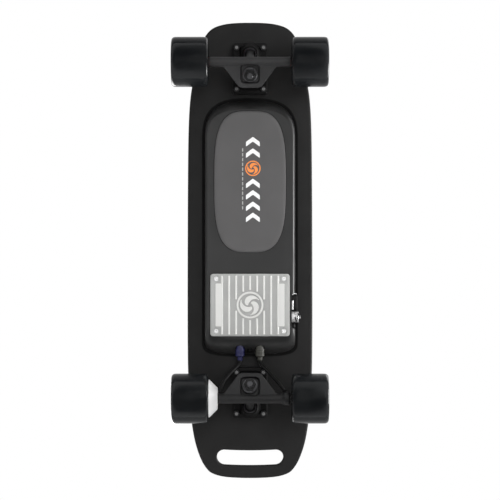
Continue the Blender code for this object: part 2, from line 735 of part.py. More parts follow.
def make_charge_port(materials):
    """The threaded charge port, its screw cap and the tether between them."""
    flange_in = -PORT_FLANGE_X[1]
    flange_out = -PORT_FLANGE_X[0]
    mouth = -PORT_X[0]
    profile = (
        (-PORT_X[1], 0), (-PORT_X[1], PORT_RADIUS), (flange_in, PORT_RADIUS), (flange_in, PORT_FLANGE_RADIUS),
        (flange_out, PORT_FLANGE_RADIUS), (flange_out, PORT_RADIUS), (mouth, PORT_RADIUS),
        (mouth, PORT_BORE_RADIUS), (mouth - PORT_BORE_DEPTH, PORT_BORE_RADIUS), (mouth - PORT_BORE_DEPTH, 0),
    )
    turned("charge_port", profile, side_frame(PORT_Y), materials["steel"], segments=FINE_SEGMENTS)
    anchor = make_empty("charge_cap_axis", (0, PORT_Y, FITTING_Z))
    skirt = PORT_RADIUS + GAP
    face = -CAP_FACE_X
    cap = (
        (mouth + GAP, 0), (mouth + GAP, skirt), (flange_out + GAP, skirt), (flange_out + GAP, PORT_FLANGE_RADIUS),
        (face - 0.0006, PORT_FLANGE_RADIUS), (face, PORT_FLANGE_RADIUS - 0.0006), (face, CAP_NUB_RADIUS),
        (-CAP_NUB_X, CAP_NUB_RADIUS), (-CAP_NUB_X, 0),
    )
    frame = frame_along((0, 0, 0), (-1, 0, 0))
    turned("charge_cap", cap, frame, materials["steel"], segments=FINE_SEGMENTS).parent = anchor
    start = Vector((PORT_FLANGE_X[0] + 0.0007, PORT_Y, FITTING_Z - PORT_FLANGE_RADIUS - GAP - TETHER_RADIUS))
    end = Vector((CAP_NUB_X + 0.0010, PORT_Y, FITTING_Z - CAP_NUB_RADIUS - GAP - TETHER_RADIUS))
    points = []
    for step in range(17):
        t = step / 16
        point = start.lerp(end, t)
        point.z -= 0.0095 * math.sin(math.pi * t)
        point.y -= 0.0060 * math.sin(2 * math.pi * t)
        points.append(point)
    tube("charge_tether", points, TETHER_RADIUS, materials["rubber"])


def tube(name, points, radius, material, resolution=2):
    """A round cable along points."""
    curve = bpy.data.curves.new(name, "CURVE")
    curve.dimensions = "3D"
    curve.bevel_depth = radius
    curve.bevel_resolution = resolution
    curve.use_fill_caps = True
    spline = curve.splines.new("POLY")
    spline.points.add(len(points) - 1)
    for place, point in zip(spline.points, points):
        place.co = (*point, 1.0)
    return add_object(name, curve, material)


def smooth_route(points, steps):
    """A Catmull-Rom curve through the points, with steps stretches between each two."""
    points = [Vector(point) for point in points]
    padded = [2 * points[0] - points[1]] + points + [2 * points[-1] - points[-2]]
    route = []
    for a, b, c, d in zip(padded, padded[1:], padded[2:], padded[3:]):
        for step in range(steps):
            t = step / steps
            curve = 2 * b + (c - a) * t + (2 * a - 5 * b + 4 * c - d) * t**2 + (3 * b - a - 3 * c + d) * t**3
            route.append(curve / 2)
    return route + [points[-1]]


def make_motor_leads(materials):
    """A plug on the casing's rear slope and a lead to the rear hanger, on each side."""
    near, far = -PLUG_Y[0], -PLUG_Y[1]
    for name, side in (("left", -1), ("right", 1)):
        frame = frame_along((side * PLUG_X, 0, FITTING_Z), (0, -1, 0))
        profile = (
            (near, 0), (near, PLUG_RADIUS), (far - 0.001, PLUG_RADIUS), (far, PLUG_RADIUS - 0.001),
            (far, 0.0042), (far + 0.006, 0.0034), (far + 0.006, 0),
        )
        turned(f"motor_plug_{name}", profile, frame, materials["rubber"], segments=FINE_SEGMENTS)
        route = [(side * x, y, z) for x, y, z in LEAD_ROUTE + LEAD_ENDS[name]]
        tube(f"motor_lead_{name}", smooth_route(route, 2), LEAD_RADIUS, materials["cable"])


# --- Trucks ----------------------------------------------------------------------------------------------------


def kingpin_frame():
    """A frame at the hanger ring's centre, with Z up along the kingpin."""
    return frame_along(RING_CENTRE, (0, math.sin(KINGPIN_TILT), math.cos(KINGPIN_TILT)))


def make_empty(name, location):
    empty = bpy.data.objects.new(name, None)
    bpy.context.scene.collection.objects.link(empty)
    empty.location = location
    return empty


def base_height():
    """The baseplate's top, above the axle."""
    return DECK_UNDERSIDE - RISER_SIZE[2] - 2 * GAP - WHEEL_RADIUS


def make_baseplate(material):
    top = base_height()
    low = top - BASE_SIZE[2]
    plate = block("baseplate", BASE_SIZE, (0, BASE_Y, (top + low) / 2), BASE_RADIUS, material)
    wide = rounded_rectangle(*HOUSING_WIDE, BASE_RADIUS, (0, BASE_Y), steps=2)
    narrow = rounded_rectangle(*HOUSING_NARROW, BASE_RADIUS, (0, BASE_Y + HOUSING_SHIFT), steps=2)
    housing = loft(
        "housing", [[(x, y, HOUSING_LOW) for x, y in narrow], [(x, y, low + 0.002) for x, y in wide]]
    )
    king = kingpin_frame()
    face, flare, root = KINGPIN_SEAT_RADII
    seat = ((UPPER_SEAT, 0), (UPPER_SEAT, face), (UPPER_SEAT + 0.003, flare), (0.040, root), (0.040, 0))
    stem = frame_along(PIVOT_CENTRE, PIVOT_CENTRE - STEM_FOOT)
    boss = (
        (-0.005, 0), (-0.005, PIVOT_BOSS_RADIUS - 0.001), (-0.003, PIVOT_BOSS_RADIUS),
        (0.0115, PIVOT_BOSS_RADIUS), (0.0115, 0),
    )
    pieces = [housing, turned("seat", seat, king, segments=FINE_SEGMENTS)]
    pieces.append(turned("boss", boss, stem, segments=FINE_SEGMENTS))
    combine(plate, pieces, "UNION")
    hole = KINGPIN_RADIUS + GAP
    head = KINGPIN_HEAD_ROOM
    kingpin_hole = ((0.0, 0), (0.0, hole), (0.0415, hole), (0.0415, head), (0.070, head), (0.070, 0))
    cup_hole = ((-0.012, 0), (-0.012, CUP_RADIUS + GAP), (0.0095, CUP_RADIUS + GAP), (0.0095, 0))
    cutters = [turned("kingpin_hole", kingpin_hole, king, segments=FINE_SEGMENTS)]
    cutters.append(turned("cup_hole", cup_hole, stem, segments=FINE_SEGMENTS))
    bolt_hole = ((0.03, 0), (0.03, BOLT_HOLE_RADIUS), (0.07, BOLT_HOLE_RADIUS), (0.07, 0))
    nut_room = ((0.03, 0), (0.03, NUT_ROOM_RADIUS), (low, NUT_ROOM_RADIUS), (low, 0))
    for x, y in bolt_places():
        place = Matrix.Translation((x, y, 0))
        cutters.append(turned("bolt_hole", bolt_hole, place, segments=BOLT_SEGMENTS))
        cutters.append(turned("nut_room", nut_room, place, segments=12))
    return combine(plate, cutters, "DIFFERENCE")


def make_riser(material):
    low = base_height() + GAP
    riser = block(
        "riser_pad", RISER_SIZE, (0, BASE_Y, low + RISER_SIZE[2] / 2), BASE_RADIUS, material
    )
    cutters = []
    for x, y in bolt_places():
        hole = ((0.05, 0), (0.05, BOLT_HOLE_RADIUS), (0.09, BOLT_HOLE_RADIUS), (0.09, 0))
        cutters.append(turned("bolt_hole", hole, Matrix.Translation((x, y, 0)), segments=BOLT_SEGMENTS))
    return combine(riser, cutters, "DIFFERENCE")


def make_bolt(material):
    """A countersunk bolt with its nut, around its own axis, with Z up from the axle."""
    top = DECK_UNDERSIDE + DECK_THICKNESS - WHEEL_RADIUS
    nut_top = base_height() - BASE_SIZE[2] - GAP
    end = nut_top - NUT_HEIGHT - 0.0015
    profile = (
        (end, 0), (end, BOLT_RADIUS - 0.0004), (end + 0.0006, BOLT_RADIUS), (top - BOLT_HEAD_HEIGHT, BOLT_RADIUS),
        (top - GAP, BOLT_HEAD_RADIUS), (top, BOLT_HEAD_RADIUS), (top, 0),
    )
    bolt = turned("bolt", profile, Matrix(), material, segments=BOLT_SEGMENTS)
    nut = prism("nut", hexagon(NUT_RADIUS), nut_top - NUT_HEIGHT, nut_top)
    return combine(bolt, [nut], "UNION")


def gusset_outline():
    """The hanger's plan in the ring's plane: a blunt end and straight sides that widen to the beam."""
    return list(GUSSET_CORNERS) + [(-x, y) for x, y in reversed(GUSSET_CORNERS)]


def make_hanger(beam_profile, material):
    """The truck's swinging half: beam, gusset with the kingpin ring, and the pivot stem."""
    across = frame_along((0, 0, 0), (1, 0, 0))
    hanger = turned("hanger", beam_profile, across, material, segments=FINE_SEGMENTS)
    king = kingpin_frame()
    gusset = prism("gusset", gusset_outline(), GUSSET_LOW, RING_HALF + 0.0010, frame=king)
    reach = (PIVOT_CENTRE - STEM_FOOT).length
    stem_profile = [(0.0, 0), (0.0, 0.0085), (reach * 0.35, 0.0072), (reach - 0.0065, 0.0052)]
    for angle in (-40, -15, 10, 35, 60):
        turn = math.radians(angle)
        stem_profile.append((reach + PIVOT_RADIUS * math.sin(turn), PIVOT_RADIUS * math.cos(turn)))
    stem_profile.append((reach + PIVOT_RADIUS, 0))
    stem = turned("stem", stem_profile, frame_along(STEM_FOOT, PIVOT_CENTRE - STEM_FOOT), segments=FINE_SEGMENTS)
    combine(hanger, [gusset, stem], "UNION")
    pocket = rounded_rectangle(2 * POCKET_HALF, 2 * POCKET_HALF, 0.006, steps=3)
    hole = ((-0.02, 0), (-0.02, 0.0063), (0.02, 0.0063), (0.02, 0))
    upper = ((RING_HALF, 0), (RING_HALF, BUSHING_RADIUS + 0.0015), (0.016, BUSHING_RADIUS + 0.0015), (0.016, 0))
    end = abs(beam_profile[0][0]) + 0.01
    bore = ((-end, 0), (-end, AXLE_RADIUS + GAP), (end, AXLE_RADIUS + GAP), (end, 0))
    cutters = [
        prism("pocket", pocket, -0.030, -RING_HALF, frame=king),
        turned("ring_hole", hole, king, segments=FINE_SEGMENTS),
        turned("bushing_room", upper, king, segments=FINE_SEGMENTS),
        turned("axle_bore", bore, across, segments=AXLE_SEGMENTS),
    ]
    return combine(hanger, cutters, "DIFFERENCE")


def make_kingpin(material):
    shaft = KINGPIN_RADIUS
    end, head, top = KINGPIN_REACH
    profile = (
        (end, 0), (end, shaft - 0.0008), (end + 0.0008, shaft), (head, shaft), (head, KINGPIN_HEAD_RADIUS),
        (top, KINGPIN_HEAD_RADIUS), (top, 0),
    )
    return turned("kingpin", profile, kingpin_frame(), material, segments=FINE_SEGMENTS)


def make_kingpin_nut(material):
    """The lock nut with its cupped washer."""
    bore = KINGPIN_RADIUS + GAP
    face = LOWER_SEAT - GAP
    washer = CUP_WASHER_RADIUS
    profile = ((face, bore), (face, washer), (face - 0.0014, washer), (face - 0.0014, bore))
    nut = turned("kingpin_nut", profile, kingpin_frame(), material, segments=FINE_SEGMENTS)
    body = prism("body", hexagon(KINGPIN_NUT_RADIUS), face - 0.0085, face - 0.0010, frame=kingpin_frame())
    hole = ((-0.040, 0), (-0.040, bore), (0.0, bore), (0.0, 0))
    combine(nut, [body], "UNION")
    return combine(nut, [turned("hole", hole, kingpin_frame(), segments=FINE_SEGMENTS)], "DIFFERENCE")


def make_bushings(material):
    """The upper barrel and the lower cone, on each side of the hanger's ring."""
    bore = KINGPIN_RADIUS + GAP
    king = kingpin_frame()
    low, high = RING_HALF + GAP, UPPER_SEAT - GAP
    middle = (low + high) / 2
    barrel = (
        (low, bore), (high, bore), (high, BUSHING_RADIUS - 0.0008), (middle, BUSHING_RADIUS),
        (low, BUSHING_RADIUS - 0.0008),
    )
    top, bottom = -RING_HALF - GAP, LOWER_SEAT
    cone = ((bottom, bore), (top, bore), (top, BUSHING_RADIUS), (bottom, BUSHING_RADIUS - 0.0022))
    upper = turned("bushing_upper", barrel, king, material, segments=FINE_SEGMENTS)
    lower = turned("bushing_lower", cone, king, material, segments=FINE_SEGMENTS)
    return upper, lower


def make_pivot_cup(material):
    inner = PIVOT_RADIUS + GAP
    profile = (
        (0.0092, 0), (0.0092, CUP_RADIUS), (-0.0045, CUP_RADIUS), (-0.0045, inner), (inner + 0.0002, inner),
        (inner + 0.0002, 0),
    )
    stem = frame_along(PIVOT_CENTRE, PIVOT_CENTRE - STEM_FOOT)
    return turned("pivot_cup", profile, stem, material, segments=FINE_SEGMENTS)


def place_in_truck(obj, name, axle_y, yaw, anchor=None):
    """Names a truck piece and turns it to its end of the board, under the steering anchor if it swings."""
    obj.name = name
    obj.data.name = name
    obj.rotation_euler.z = yaw
    obj.location = (0, axle_y, WHEEL_RADIUS)
    if anchor is not None:
        obj.location = Vector(obj.location) - anchor.location
        obj.parent = anchor


def make_truck(end, axle_y, yaw, beam_profile, axle_reach, materials):
    """All of one truck; returns the empty on its steering axis."""
    turn = Matrix.Rotation(yaw, 4, "Z")
    ring = turn @ RING_CENTRE + Vector((0, axle_y, WHEEL_RADIUS))
    anchor = make_empty(f"{end}_steer_axis", ring)
    fixed = {
        f"riser_pad_{end}": make_riser(materials["rubber"]),
        f"baseplate_{end}": make_baseplate(materials["black_metal"]),
        f"pivot_cup_{end}": make_pivot_cup(materials["bushing"]),
        f"kingpin_{end}": make_kingpin(materials["steel"]),
        f"kingpin_nut_{end}": make_kingpin_nut(materials["black_metal"]),
    }
    upper, lower = make_bushings(materials["bushing"])
    fixed[f"bushing_upper_{end}"] = upper
    fixed[f"bushing_lower_{end}"] = lower
    for name, obj in fixed.items():
        place_in_truck(obj, name, axle_y, yaw)
    bolt = make_bolt(materials["steel"])
    for index, (x, y) in enumerate(bolt_places()):
        copy = add_object(f"truck_bolt_{end}_{index + 1}", bolt.data, None)
        copy.location = turn @ Vector((x, y, 0)) + Vector((0, axle_y, WHEEL_RADIUS))
    bpy.data.objects.remove(bolt)
    place_in_truck(make_hanger(beam_profile, materials["black_metal"]), f"hanger_{end}", axle_y, yaw, anchor)
    axle_profile = (
        (-axle_reach, 0), (-axle_reach, AXLE_RADIUS - 0.0006), (-axle_reach + 0.0006, AXLE_RADIUS),
        (axle_reach - 0.0006, AXLE_RADIUS), (axle_reach, AXLE_RADIUS - 0.0006), (axle_reach, 0),
    )
    across = frame_along((0, 0, 0), (1, 0, 0))
    axle = turned("axle", axle_profile, across, materials["steel"], segments=AXLE_SEGMENTS)
    place_in_truck(axle, f"axle_{end}", axle_y, yaw, anchor)
    return anchor


# --- Wheels, drawn around their own centre with Z outwards -------------------------------------------------------


def make_front_tyre(material):
    half = WHEEL_WIDTH / 2
    right = [(0.0190, TYRE_BORE_RADIUS), (half - 0.0015, 0.0270), (half, 0.0285), (half, 0.0310)]
    right += [(half - 0.0035, 0.0358), (half - 0.0095, WHEEL_RADIUS)]
    left = [(-w, r) for w, r in reversed(right)]
    return turned("tyre", right + left, material=material, segments=WHEEL_SEGMENTS)


def make_rear_tyre(material):
    half = WHEEL_WIDTH / 2
    bore = CAN_RADIUS + GAP
    seat = COVER_REACH[1] - GAP
    lip = COVER_RADIUS + GAP
    right = [(seat, bore), (seat, lip), (half, lip), (half, 0.0322), (half - 0.0020, 0.0350)]
    right += [(half - 0.0055, 0.0369), (half - 0.0095, WHEEL_RADIUS)]
    left = [(0.0095 - half, WHEEL_RADIUS), (0.0055 - half, 0.0369), (0.0020 - half, 0.0350), (-half, 0.0322)]
    left += [(-half, bore)]
    return turned("tyre", right + left, material=material, segments=WHEEL_SEGMENTS)


def make_core(material):
    """The spoked core of a front wheel."""
    half = CORE_HALF_WIDTH
    profile = ((-half, CORE_BORE_RADIUS), (half, CORE_BORE_RADIUS), (half, CORE_RADIUS), (-half, CORE_RADIUS))
    core = turned("core", profile, material=material)
    inner, outer = SPOKE_WINDOW_RADII
    narrow, wide = SPOKE_WINDOW_ANGLES
    corners = ((inner, -narrow), (inner, 0), (inner, narrow), (outer, wide), (outer, 0), (outer, -wide))
    cutters = []
    for index in range(SPOKES):
        middle = 2 * math.pi * (index + 0.5) / SPOKES
        outline = []
        for radius, offset in corners:
            angle = middle + math.radians(offset)
            outline.append((radius * math.cos(angle), radius * math.sin(angle)))
        cutters.append(prism("window", outline, -0.03, 0.03))
    return combine(core, cutters, "DIFFERENCE")


def make_bearings(material):
    """The two bearings of a front wheel with the spacer sleeve between them."""
    bore = AXLE_RADIUS + GAP
    inside, face = BEARING_REACH
    right = [(face, bore), (face, BEARING_RADIUS), (inside, BEARING_RADIUS), (inside, SPACER_RADIUS)]
    left = [(-w, r) for w, r in reversed(right)]
    return turned("bearings", right + left, material=material, segments=FINE_SEGMENTS)


def make_axle_nut(material):
    bore = AXLE_RADIUS + GAP
    nut = prism("axle_nut", hexagon(AXLE_NUT_RADIUS), *AXLE_NUT_REACH, material)
    hole = ((0.01, 0), (0.01, bore), (0.03, bore), (0.03, 0))
    return combine(nut, [turned("hole", hole, segments=AXLE_SEGMENTS)], "DIFFERENCE")


def make_motor_can(material):
    """The turning bell of a hub motor, open on its outer side."""
    back, front = CAN_REACH
    floor = back + CAN_WALL
    profile = (
        (back, CAN_BORE_RADIUS), (floor, CAN_BORE_RADIUS), (floor, CAN_INNER_RADIUS), (front, CAN_INNER_RADIUS),
        (front, CAN_RADIUS), (back, CAN_RADIUS),
    )
    return turned("motor_can", profile, material=material)


def make_motor_cover(material):
    """The disc that closes a hub motor, with a hollow in its inner face for the axle's end."""
    inside, rim, face = COVER_REACH
    depth, hollow = COVER_HOLLOW
    profile = (
        (depth, 0), (depth, hollow), (inside, hollow), (inside, COVER_SPIGOT_RADIUS), (rim, COVER_SPIGOT_RADIUS),
        (rim, COVER_RADIUS), (face, COVER_RADIUS), (face, 0),
    )
    return turned("motor_cover", profile, material=material)


def make_stator(material):
    """The wound stator of a hub motor with the hollow shaft that carries it."""
    bore = AXLE_RADIUS + GAP
    back, front = STATOR_REACH
    profile = (
        (STATOR_SHAFT_END, bore), (front, bore), (front, STATOR_RADIUS), (back, STATOR_RADIUS),
        (back, STATOR_SHAFT_RADIUS), (STATOR_SHAFT_END, STATOR_SHAFT_RADIUS),
    )
    return turned("motor_stator", profile, material=material)


def make_motor_flange(material):
    """The flange in the rear truck's frame, where the board's right side is -X."""
    near, far = FLANGE_REACH
    narrow, wide = FLANGE_RADII
    profile = (
        (-far, FLANGE_BORE_RADIUS), (-near, FLANGE_BORE_RADIUS), (-near, narrow), (0.0012 - far, wide), (-far, wide),
    )
    return turned("motor_flange", profile, frame_along((0, 0, 0), (1, 0, 0)), material)


def make_wheels(end, anchor, axle_y, fixed, turning):
    """Places a pair of wheels: fixed pieces hang on the hanger, turning pieces on the wheel's own axis."""
    for side_name, side in (("left", -1), ("right", 1)):
        outward = frame_along((0, 0, 0), (side, 0, 0)).to_euler()
        centre = Vector((side * WHEEL_CENTRE, axle_y, WHEEL_RADIUS)) - anchor.location
        hub = make_empty(f"wheel_{end}_{side_name}_axis", centre)
        hub.rotation_euler = outward
        hub.parent = anchor
        for source in turning:
            copy = add_object(f"{source.name}_{end}_{side_name}", source.data, None)
            copy.parent = hub
        for source in fixed:
            copy = add_object(f"{source.name}_{end}_{side_name}", source.data, None)
            copy.parent = anchor
            copy.location = centre
            copy.rotation_euler = outward
    for source in fixed + turning:
        bpy.data.objects.remove(source)


def make_running_gear(materials):
    front_beam = (
        (-0.0725, 0), (-0.0725, 0.0062), (-0.0630, 0.0066), (-0.0612, BEAM_RADIUS), (0.0612, BEAM_RADIUS),
        (0.0630, 0.0066), (0.0725, 0.0062), (0.0725, 0),
    )
    anchor = make_truck("front", FRONT_AXLE_Y, 0.0, front_beam, 0.1155, materials)
    turning = [make_front_tyre(materials["urethane"]), make_core(materials["core"])]
    turning.append(make_bearings(materials["steel"]))
    make_wheels("front", anchor, FRONT_AXLE_Y, [make_axle_nut(materials["steel"])], turning)
    rear_beam = (
        (-0.0600, 0), (-0.0600, 0.0098), (-0.0585, 0.0105), (-0.0520, 0.0105), (-0.0480, BEAM_RADIUS),
        (0.0480, BEAM_RADIUS), (0.0520, 0.0105), (0.0585, 0.0105), (0.0600, 0.0098), (0.0600, 0),
    )
    anchor = make_truck("rear", REAR_AXLE_Y, math.pi, rear_beam, 0.1085, materials)
    flange = make_motor_flange(materials["aluminium"])
    place_in_truck(flange, "motor_flange_rear_right", REAR_AXLE_Y, math.pi, anchor)
    turning = [make_rear_tyre(materials["urethane"]), make_motor_can(materials["black_metal"])]
    turning.append(make_motor_cover(materials["black_metal"]))
    make_wheels("rear", anchor, REAR_AXLE_Y, [make_stator(materials["copper"])], turning)


def main():
    for obj in list(bpy.data.objects):
        bpy.data.objects.remove(obj)
    materials = make_materials()
    make_deck(materials)
    make_grip(materials)
    make_display(materials)
    make_casing(materials)
    make_gasket(materials)
    make_label(materials)
    make_heatsink(materials)
    make_contents(materials)
    make_button(materials)
    make_charge_port(materials)
    make_motor_leads(materials)
    make_running_gear(materials)


main()
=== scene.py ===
"""Looks of the electric skateboard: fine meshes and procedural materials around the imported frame.

Metres, +Z up, nose to +Y. The camera looks up at the board's underside. The floor is see-through from below.
"""

import math

import bmesh
import bpy
from mathutils import Matrix, Vector


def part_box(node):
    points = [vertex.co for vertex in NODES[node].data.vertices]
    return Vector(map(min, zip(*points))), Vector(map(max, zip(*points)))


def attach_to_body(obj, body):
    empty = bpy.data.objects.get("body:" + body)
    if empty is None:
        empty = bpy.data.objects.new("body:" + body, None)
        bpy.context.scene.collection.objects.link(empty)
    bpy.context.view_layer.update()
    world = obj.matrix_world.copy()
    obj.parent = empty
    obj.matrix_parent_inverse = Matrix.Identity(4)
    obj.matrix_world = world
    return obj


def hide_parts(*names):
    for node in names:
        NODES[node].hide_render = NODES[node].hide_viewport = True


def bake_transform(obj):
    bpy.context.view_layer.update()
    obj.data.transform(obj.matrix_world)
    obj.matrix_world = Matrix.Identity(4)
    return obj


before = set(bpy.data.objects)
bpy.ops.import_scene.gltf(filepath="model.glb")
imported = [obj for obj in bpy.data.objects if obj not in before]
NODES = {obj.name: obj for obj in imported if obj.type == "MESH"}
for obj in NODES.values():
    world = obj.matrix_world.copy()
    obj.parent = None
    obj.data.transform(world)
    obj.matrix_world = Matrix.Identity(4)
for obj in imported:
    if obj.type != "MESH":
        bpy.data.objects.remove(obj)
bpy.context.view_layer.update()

# --- Driving dimensions, from the frame where a node's box gives them -----------------------------

DECK_LOW, DECK_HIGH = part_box("deck")
DECK_NOSE_Y = DECK_HIGH.y
DECK_TAIL_Y = DECK_LOW.y
DECK_HALF_WIDTH = DECK_HIGH.x
DECK_UNDERSIDE = DECK_LOW.z
DECK_THICKNESS = 0.0115
DECK_TOP = DECK_UNDERSIDE + DECK_THICKNESS
DECK_EDGE_RADIUS = 0.004
DECK_RIM_RADIUS = 0.0027
DECK_GROOVE = 0.0007
CONCAVE_RISE = 0.0045
CONCAVE_START = 0.55
CONCAVE_FADE = 0.09
KICK_LENGTH = 0.115
KICK_RISE = 0.0200
KICK_POWER = 2.2
NOSE_PROFILE = (
    (0.0, 0.008), (0.0002, 0.0160), (0.0011, 0.0300), (0.003, 0.0418), (0.0067, 0.0536), (0.0117, 0.0616),
    (0.0217, 0.0698), (0.040, 0.0777), (0.107, 0.0913), (0.122, 0.0931), (0.142, 0.0945), (0.172, 0.0956),
    (0.212, 0.0962), (0.292, 0.0967), (0.452, DECK_HALF_WIDTH),
)
TAIL_PROFILE = (
    (0.0, 0.008), (0.0003, 0.0170), (0.001, 0.0310), (0.0033, 0.0465), (0.0088, 0.0610), (0.0148, 0.0672),
    (0.0248, 0.0737), (0.0348, 0.0782), (0.0548, 0.0847), (0.0748, 0.0888), (0.109, 0.0930), (0.170, 0.0963),
    (0.205, 0.0968), (0.255, DECK_HALF_WIDTH),
)

# Mat: margins from the deck's edge, and heights above the deck's middle line.
# The grey border splits beside the handle; FIELD_REAR is where the ribs' field ends.
GRIP_MARGIN = 0.0045
BORDER_MARGIN = 0.0080
BORDER_WIDTH = 0.0075
BORDER_SPLIT = -0.286
FIELD_MARGIN = 0.0205
FIELD_REAR = -0.297
FIELD_CORNER = 0.014
GRIP_BASE = 0.1235
RIB_TOP = 0.12385
RIB_EDGE_TOP = 0.1240
GRIP_TOP = 0.1241
RIB_ANGLE = math.radians(43)
RIB_PITCH = 0.0174
RIB_EDGE_WIDTH = 0.0016
RIB_WIDTH = 0.0044
RIB_COUNT = 52
RIB_REACH = 0.11
CHEVRONS = 8
CHEVRON_CENTRE = -0.004
CHEVRON_SPAN = (0.275, -0.243)
CHEVRON_SIZE = (0.0350, 0.0440, 0.0210)

HANDLE_HALF_LENGTH = 0.0515
HANDLE_HALF_WIDTH = 0.012
HANDLE_BOW = 0.002
HANDLE_Y = -0.3216
# Rounding of the slot's edge: (wider than the slot by, depth below the deck's face).
HANDLE_EDGE = ((0.006, -0.003), (0.0030, 0.0), (0.0015, 0.0007), (0.0005, 0.0018), (0.0, 0.0034))

CASING_HALF_WIDTH = 0.070
CASING_FRONT = 0.231
CASING_REAR = -0.161
CASING_FRONT_ROUND = 0.063
CASING_REAR_ROUND = 0.024
CASING_FRONT_POWER = 2.9
CASING_REAR_POWER = 3.5
CASING_DEPTH_FRONT = 0.0215
CASING_DEPTH_REAR = 0.0265
CASING_STEP = (0.008, -0.033)
CASING_WALL = 0.003
CASING_SIDE_INSET = 0.0045
CASING_FRONT_INSET = 0.015
CASING_REAR_INSET = 0.0255
CASING_RIM = DECK_UNDERSIDE - 0.0016
# From the rim to the flat bottom: share of the depth, of the sides' inset and of the ends' inset.
CASING_SLOPE = (
    (0.0, 0.0, 0.0), (0.08, 0.01, 0.035), (0.20, 0.02, 0.10), (0.32, 0.04, 0.18), (0.44, 0.07, 0.27),
    (0.56, 0.12, 0.37), (0.67, 0.20, 0.475), (0.77, 0.32, 0.585), (0.85, 0.45, 0.70), (0.91, 0.59, 0.80),
    (0.955, 0.73, 0.885), (0.985, 0.87, 0.955), (1.0, 1.02, 1.02), (1.0, 1.12, 1.10),
)

LABEL_HALF_WIDTH = 0.055
LABEL_FRONT = 0.2135
LABEL_REAR = -0.0035
LABEL_POWER = 3.3
LABEL_THICKNESS = 0.0028
LABEL_STEPS = 144
# Rounded edge of the label plate: (inset, share of the thickness).
LABEL_EDGE = (
    (0.0, 0.0), (0.0, 0.30), (0.0002, 0.52), (0.0007, 0.70), (0.0016, 0.84), (0.0030, 0.94), (0.0050, 0.99),
    (0.0070, 1.0),
)
PRINT_X = -0.0044
PRINT_CHEVRONS = (0.1660, 0.1485, 0.1020, 0.0845, 0.0670, 0.0500)
PRINT_CHEVRON_SIZE = (0.0106, 0.0150, 0.0072)
EMBLEM_Y = 0.1252
EMBLEM_RADIUS = 0.0118
DASH_START = (0.0113, 0.1535)
DASH_PITCH = 0.0074
DASHES = 13

HEATSINK_LOW, HEATSINK_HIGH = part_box("heatsink")
HEATSINK_Y = (HEATSINK_LOW.y + HEATSINK_HIGH.y) / 2
HEATSINK_FACE = CASING_RIM - CASING_DEPTH_REAR - 0.0003
HEATSINK_THICKNESS = 0.0025
RIB_TOP_Z = HEATSINK_LOW.z
HEATSINK_RIB_PITCH = 0.0107
HEATSINK_DISC_RADIUS = 0.0215
HEATSINK_CORNER_RADIUS = 0.0045
HEATSINK_SCREWS = (0.0518, 0.0400)
HEATSINK_PAD = (0.0092, 0.0660)
HEATSINK_PAD_X = 0.0482

FITTING_Z = 0.0965
# The bay in the left side wall that the button and the port sit in, open below.
BAY_X = -0.0636
BAY_DEPTH = 0.010
BAY_FRONT = -0.0655
BAY_REAR = -0.1215
BAY_TOP = 0.1086
SEAL_SECTION = ((-0.0040, 0.1102), (-0.0040, 0.1092), (0.0028, 0.1092), (0.0028, 0.1102))
TRIM_ARC = ((-0.0648, -0.0688), (-0.0664, -0.0674), (-0.0690, -0.0668), (-0.0714, -0.0676))
TRIM_BAR = (0.0035, 0.0, -0.0035, -0.0070, -0.0105)
SIDE_PLUG_Y = -0.117
SIDE_PLUG_SEAT = 0.0672
REAR_EYE_Z = 0.0975
TETHER_RADIUS = 0.0008
PLUG_X = 0.0153
PLUG_RADIUS = 0.0070
# A motor lead's centre line on the right side, from the plug to the hanger; the last stretch differs by side.
LEAD_RADIUS = 0.0025
LEAD_ROUTE = (
    (0.0153, -0.1704, 0.0965), (0.0155, -0.1728, 0.0960), (0.0168, -0.1755, 0.0935),
    (0.0198, -0.1790, 0.0895), (0.0248, -0.1835, 0.0838), (0.0310, -0.1895, 0.0765),
    (0.0370, -0.1960, 0.0685),
)
LEAD_ENDS = {
    "left": ((0.0435, -0.2025, 0.0610), (0.0485, -0.2085, 0.0550), (0.0525, -0.2135, 0.0510)),
    "right": ((0.0415, -0.2025, 0.0610), (0.0440, -0.2080, 0.0550), (0.0452, -0.2125, 0.0508)),
}

# Truck bolts.
BOLT_RADIUS = 0.0025
BOLT_THREAD_DEPTH = 0.0003
BOLT_HEAD_RADIUS = 0.0047
BOLT_NUT_RADIUS = 0.0047
BOLT_NUT_HEIGHT = 0.0042
BOLT_HOLE_RADIUS = 0.0029
BOLT_SEAT_RADIUS = 0.0050

# Truck, in its own frame: Y outboard and Z up from the axle's centre.
RING_CENTRE = Vector((0.0, -0.015, 0.010))
PIVOT_CENTRE = Vector((0.0, 0.018, 0.037))
STEM_FOOT = Vector((0.0, 0.001, 0.003))
KINGPIN_TILT = math.radians(18)
KINGPIN_RADIUS = 0.0048
RING_HALF = 0.005
BUSHING_RADIUS = 0.0105
UPPER_SEAT = 0.0186
LOWER_SEAT = -0.0150
AXLE_RADIUS = 0.004
CASTING_VOXEL = 0.0009
CASTING_KEEP = 0.35

# Wheels, in their own frame: (outwards along the axle, radius) of a tyre's shoulder up to its tread.
TYRE_SHOULDER = ((0.0262, 0.0357), (0.0248, 0.0367), (0.0228, 0.0373), (0.0200, 0.0375), (0.0050, 0.0375))
CORE_SPOKES = 9
# Along a spoke: (distance from the axle, half its width, half its depth).
SPOKE_SECTIONS = ((0.0128, 0.0014, 0.0168), (0.0160, 0.0019, 0.0150), (0.0192, 0.0027, 0.0176))
COVER_SCREWS = 6
COVER_SCREW_RING = 0.0245

FLANGE_NARROW = 0.0165
FLANGE_BORE = 0.0108

CAMERA_DISTANCE = 2.56
CAMERA_LENS = 119.0
FLOOR_REACH = 12.0
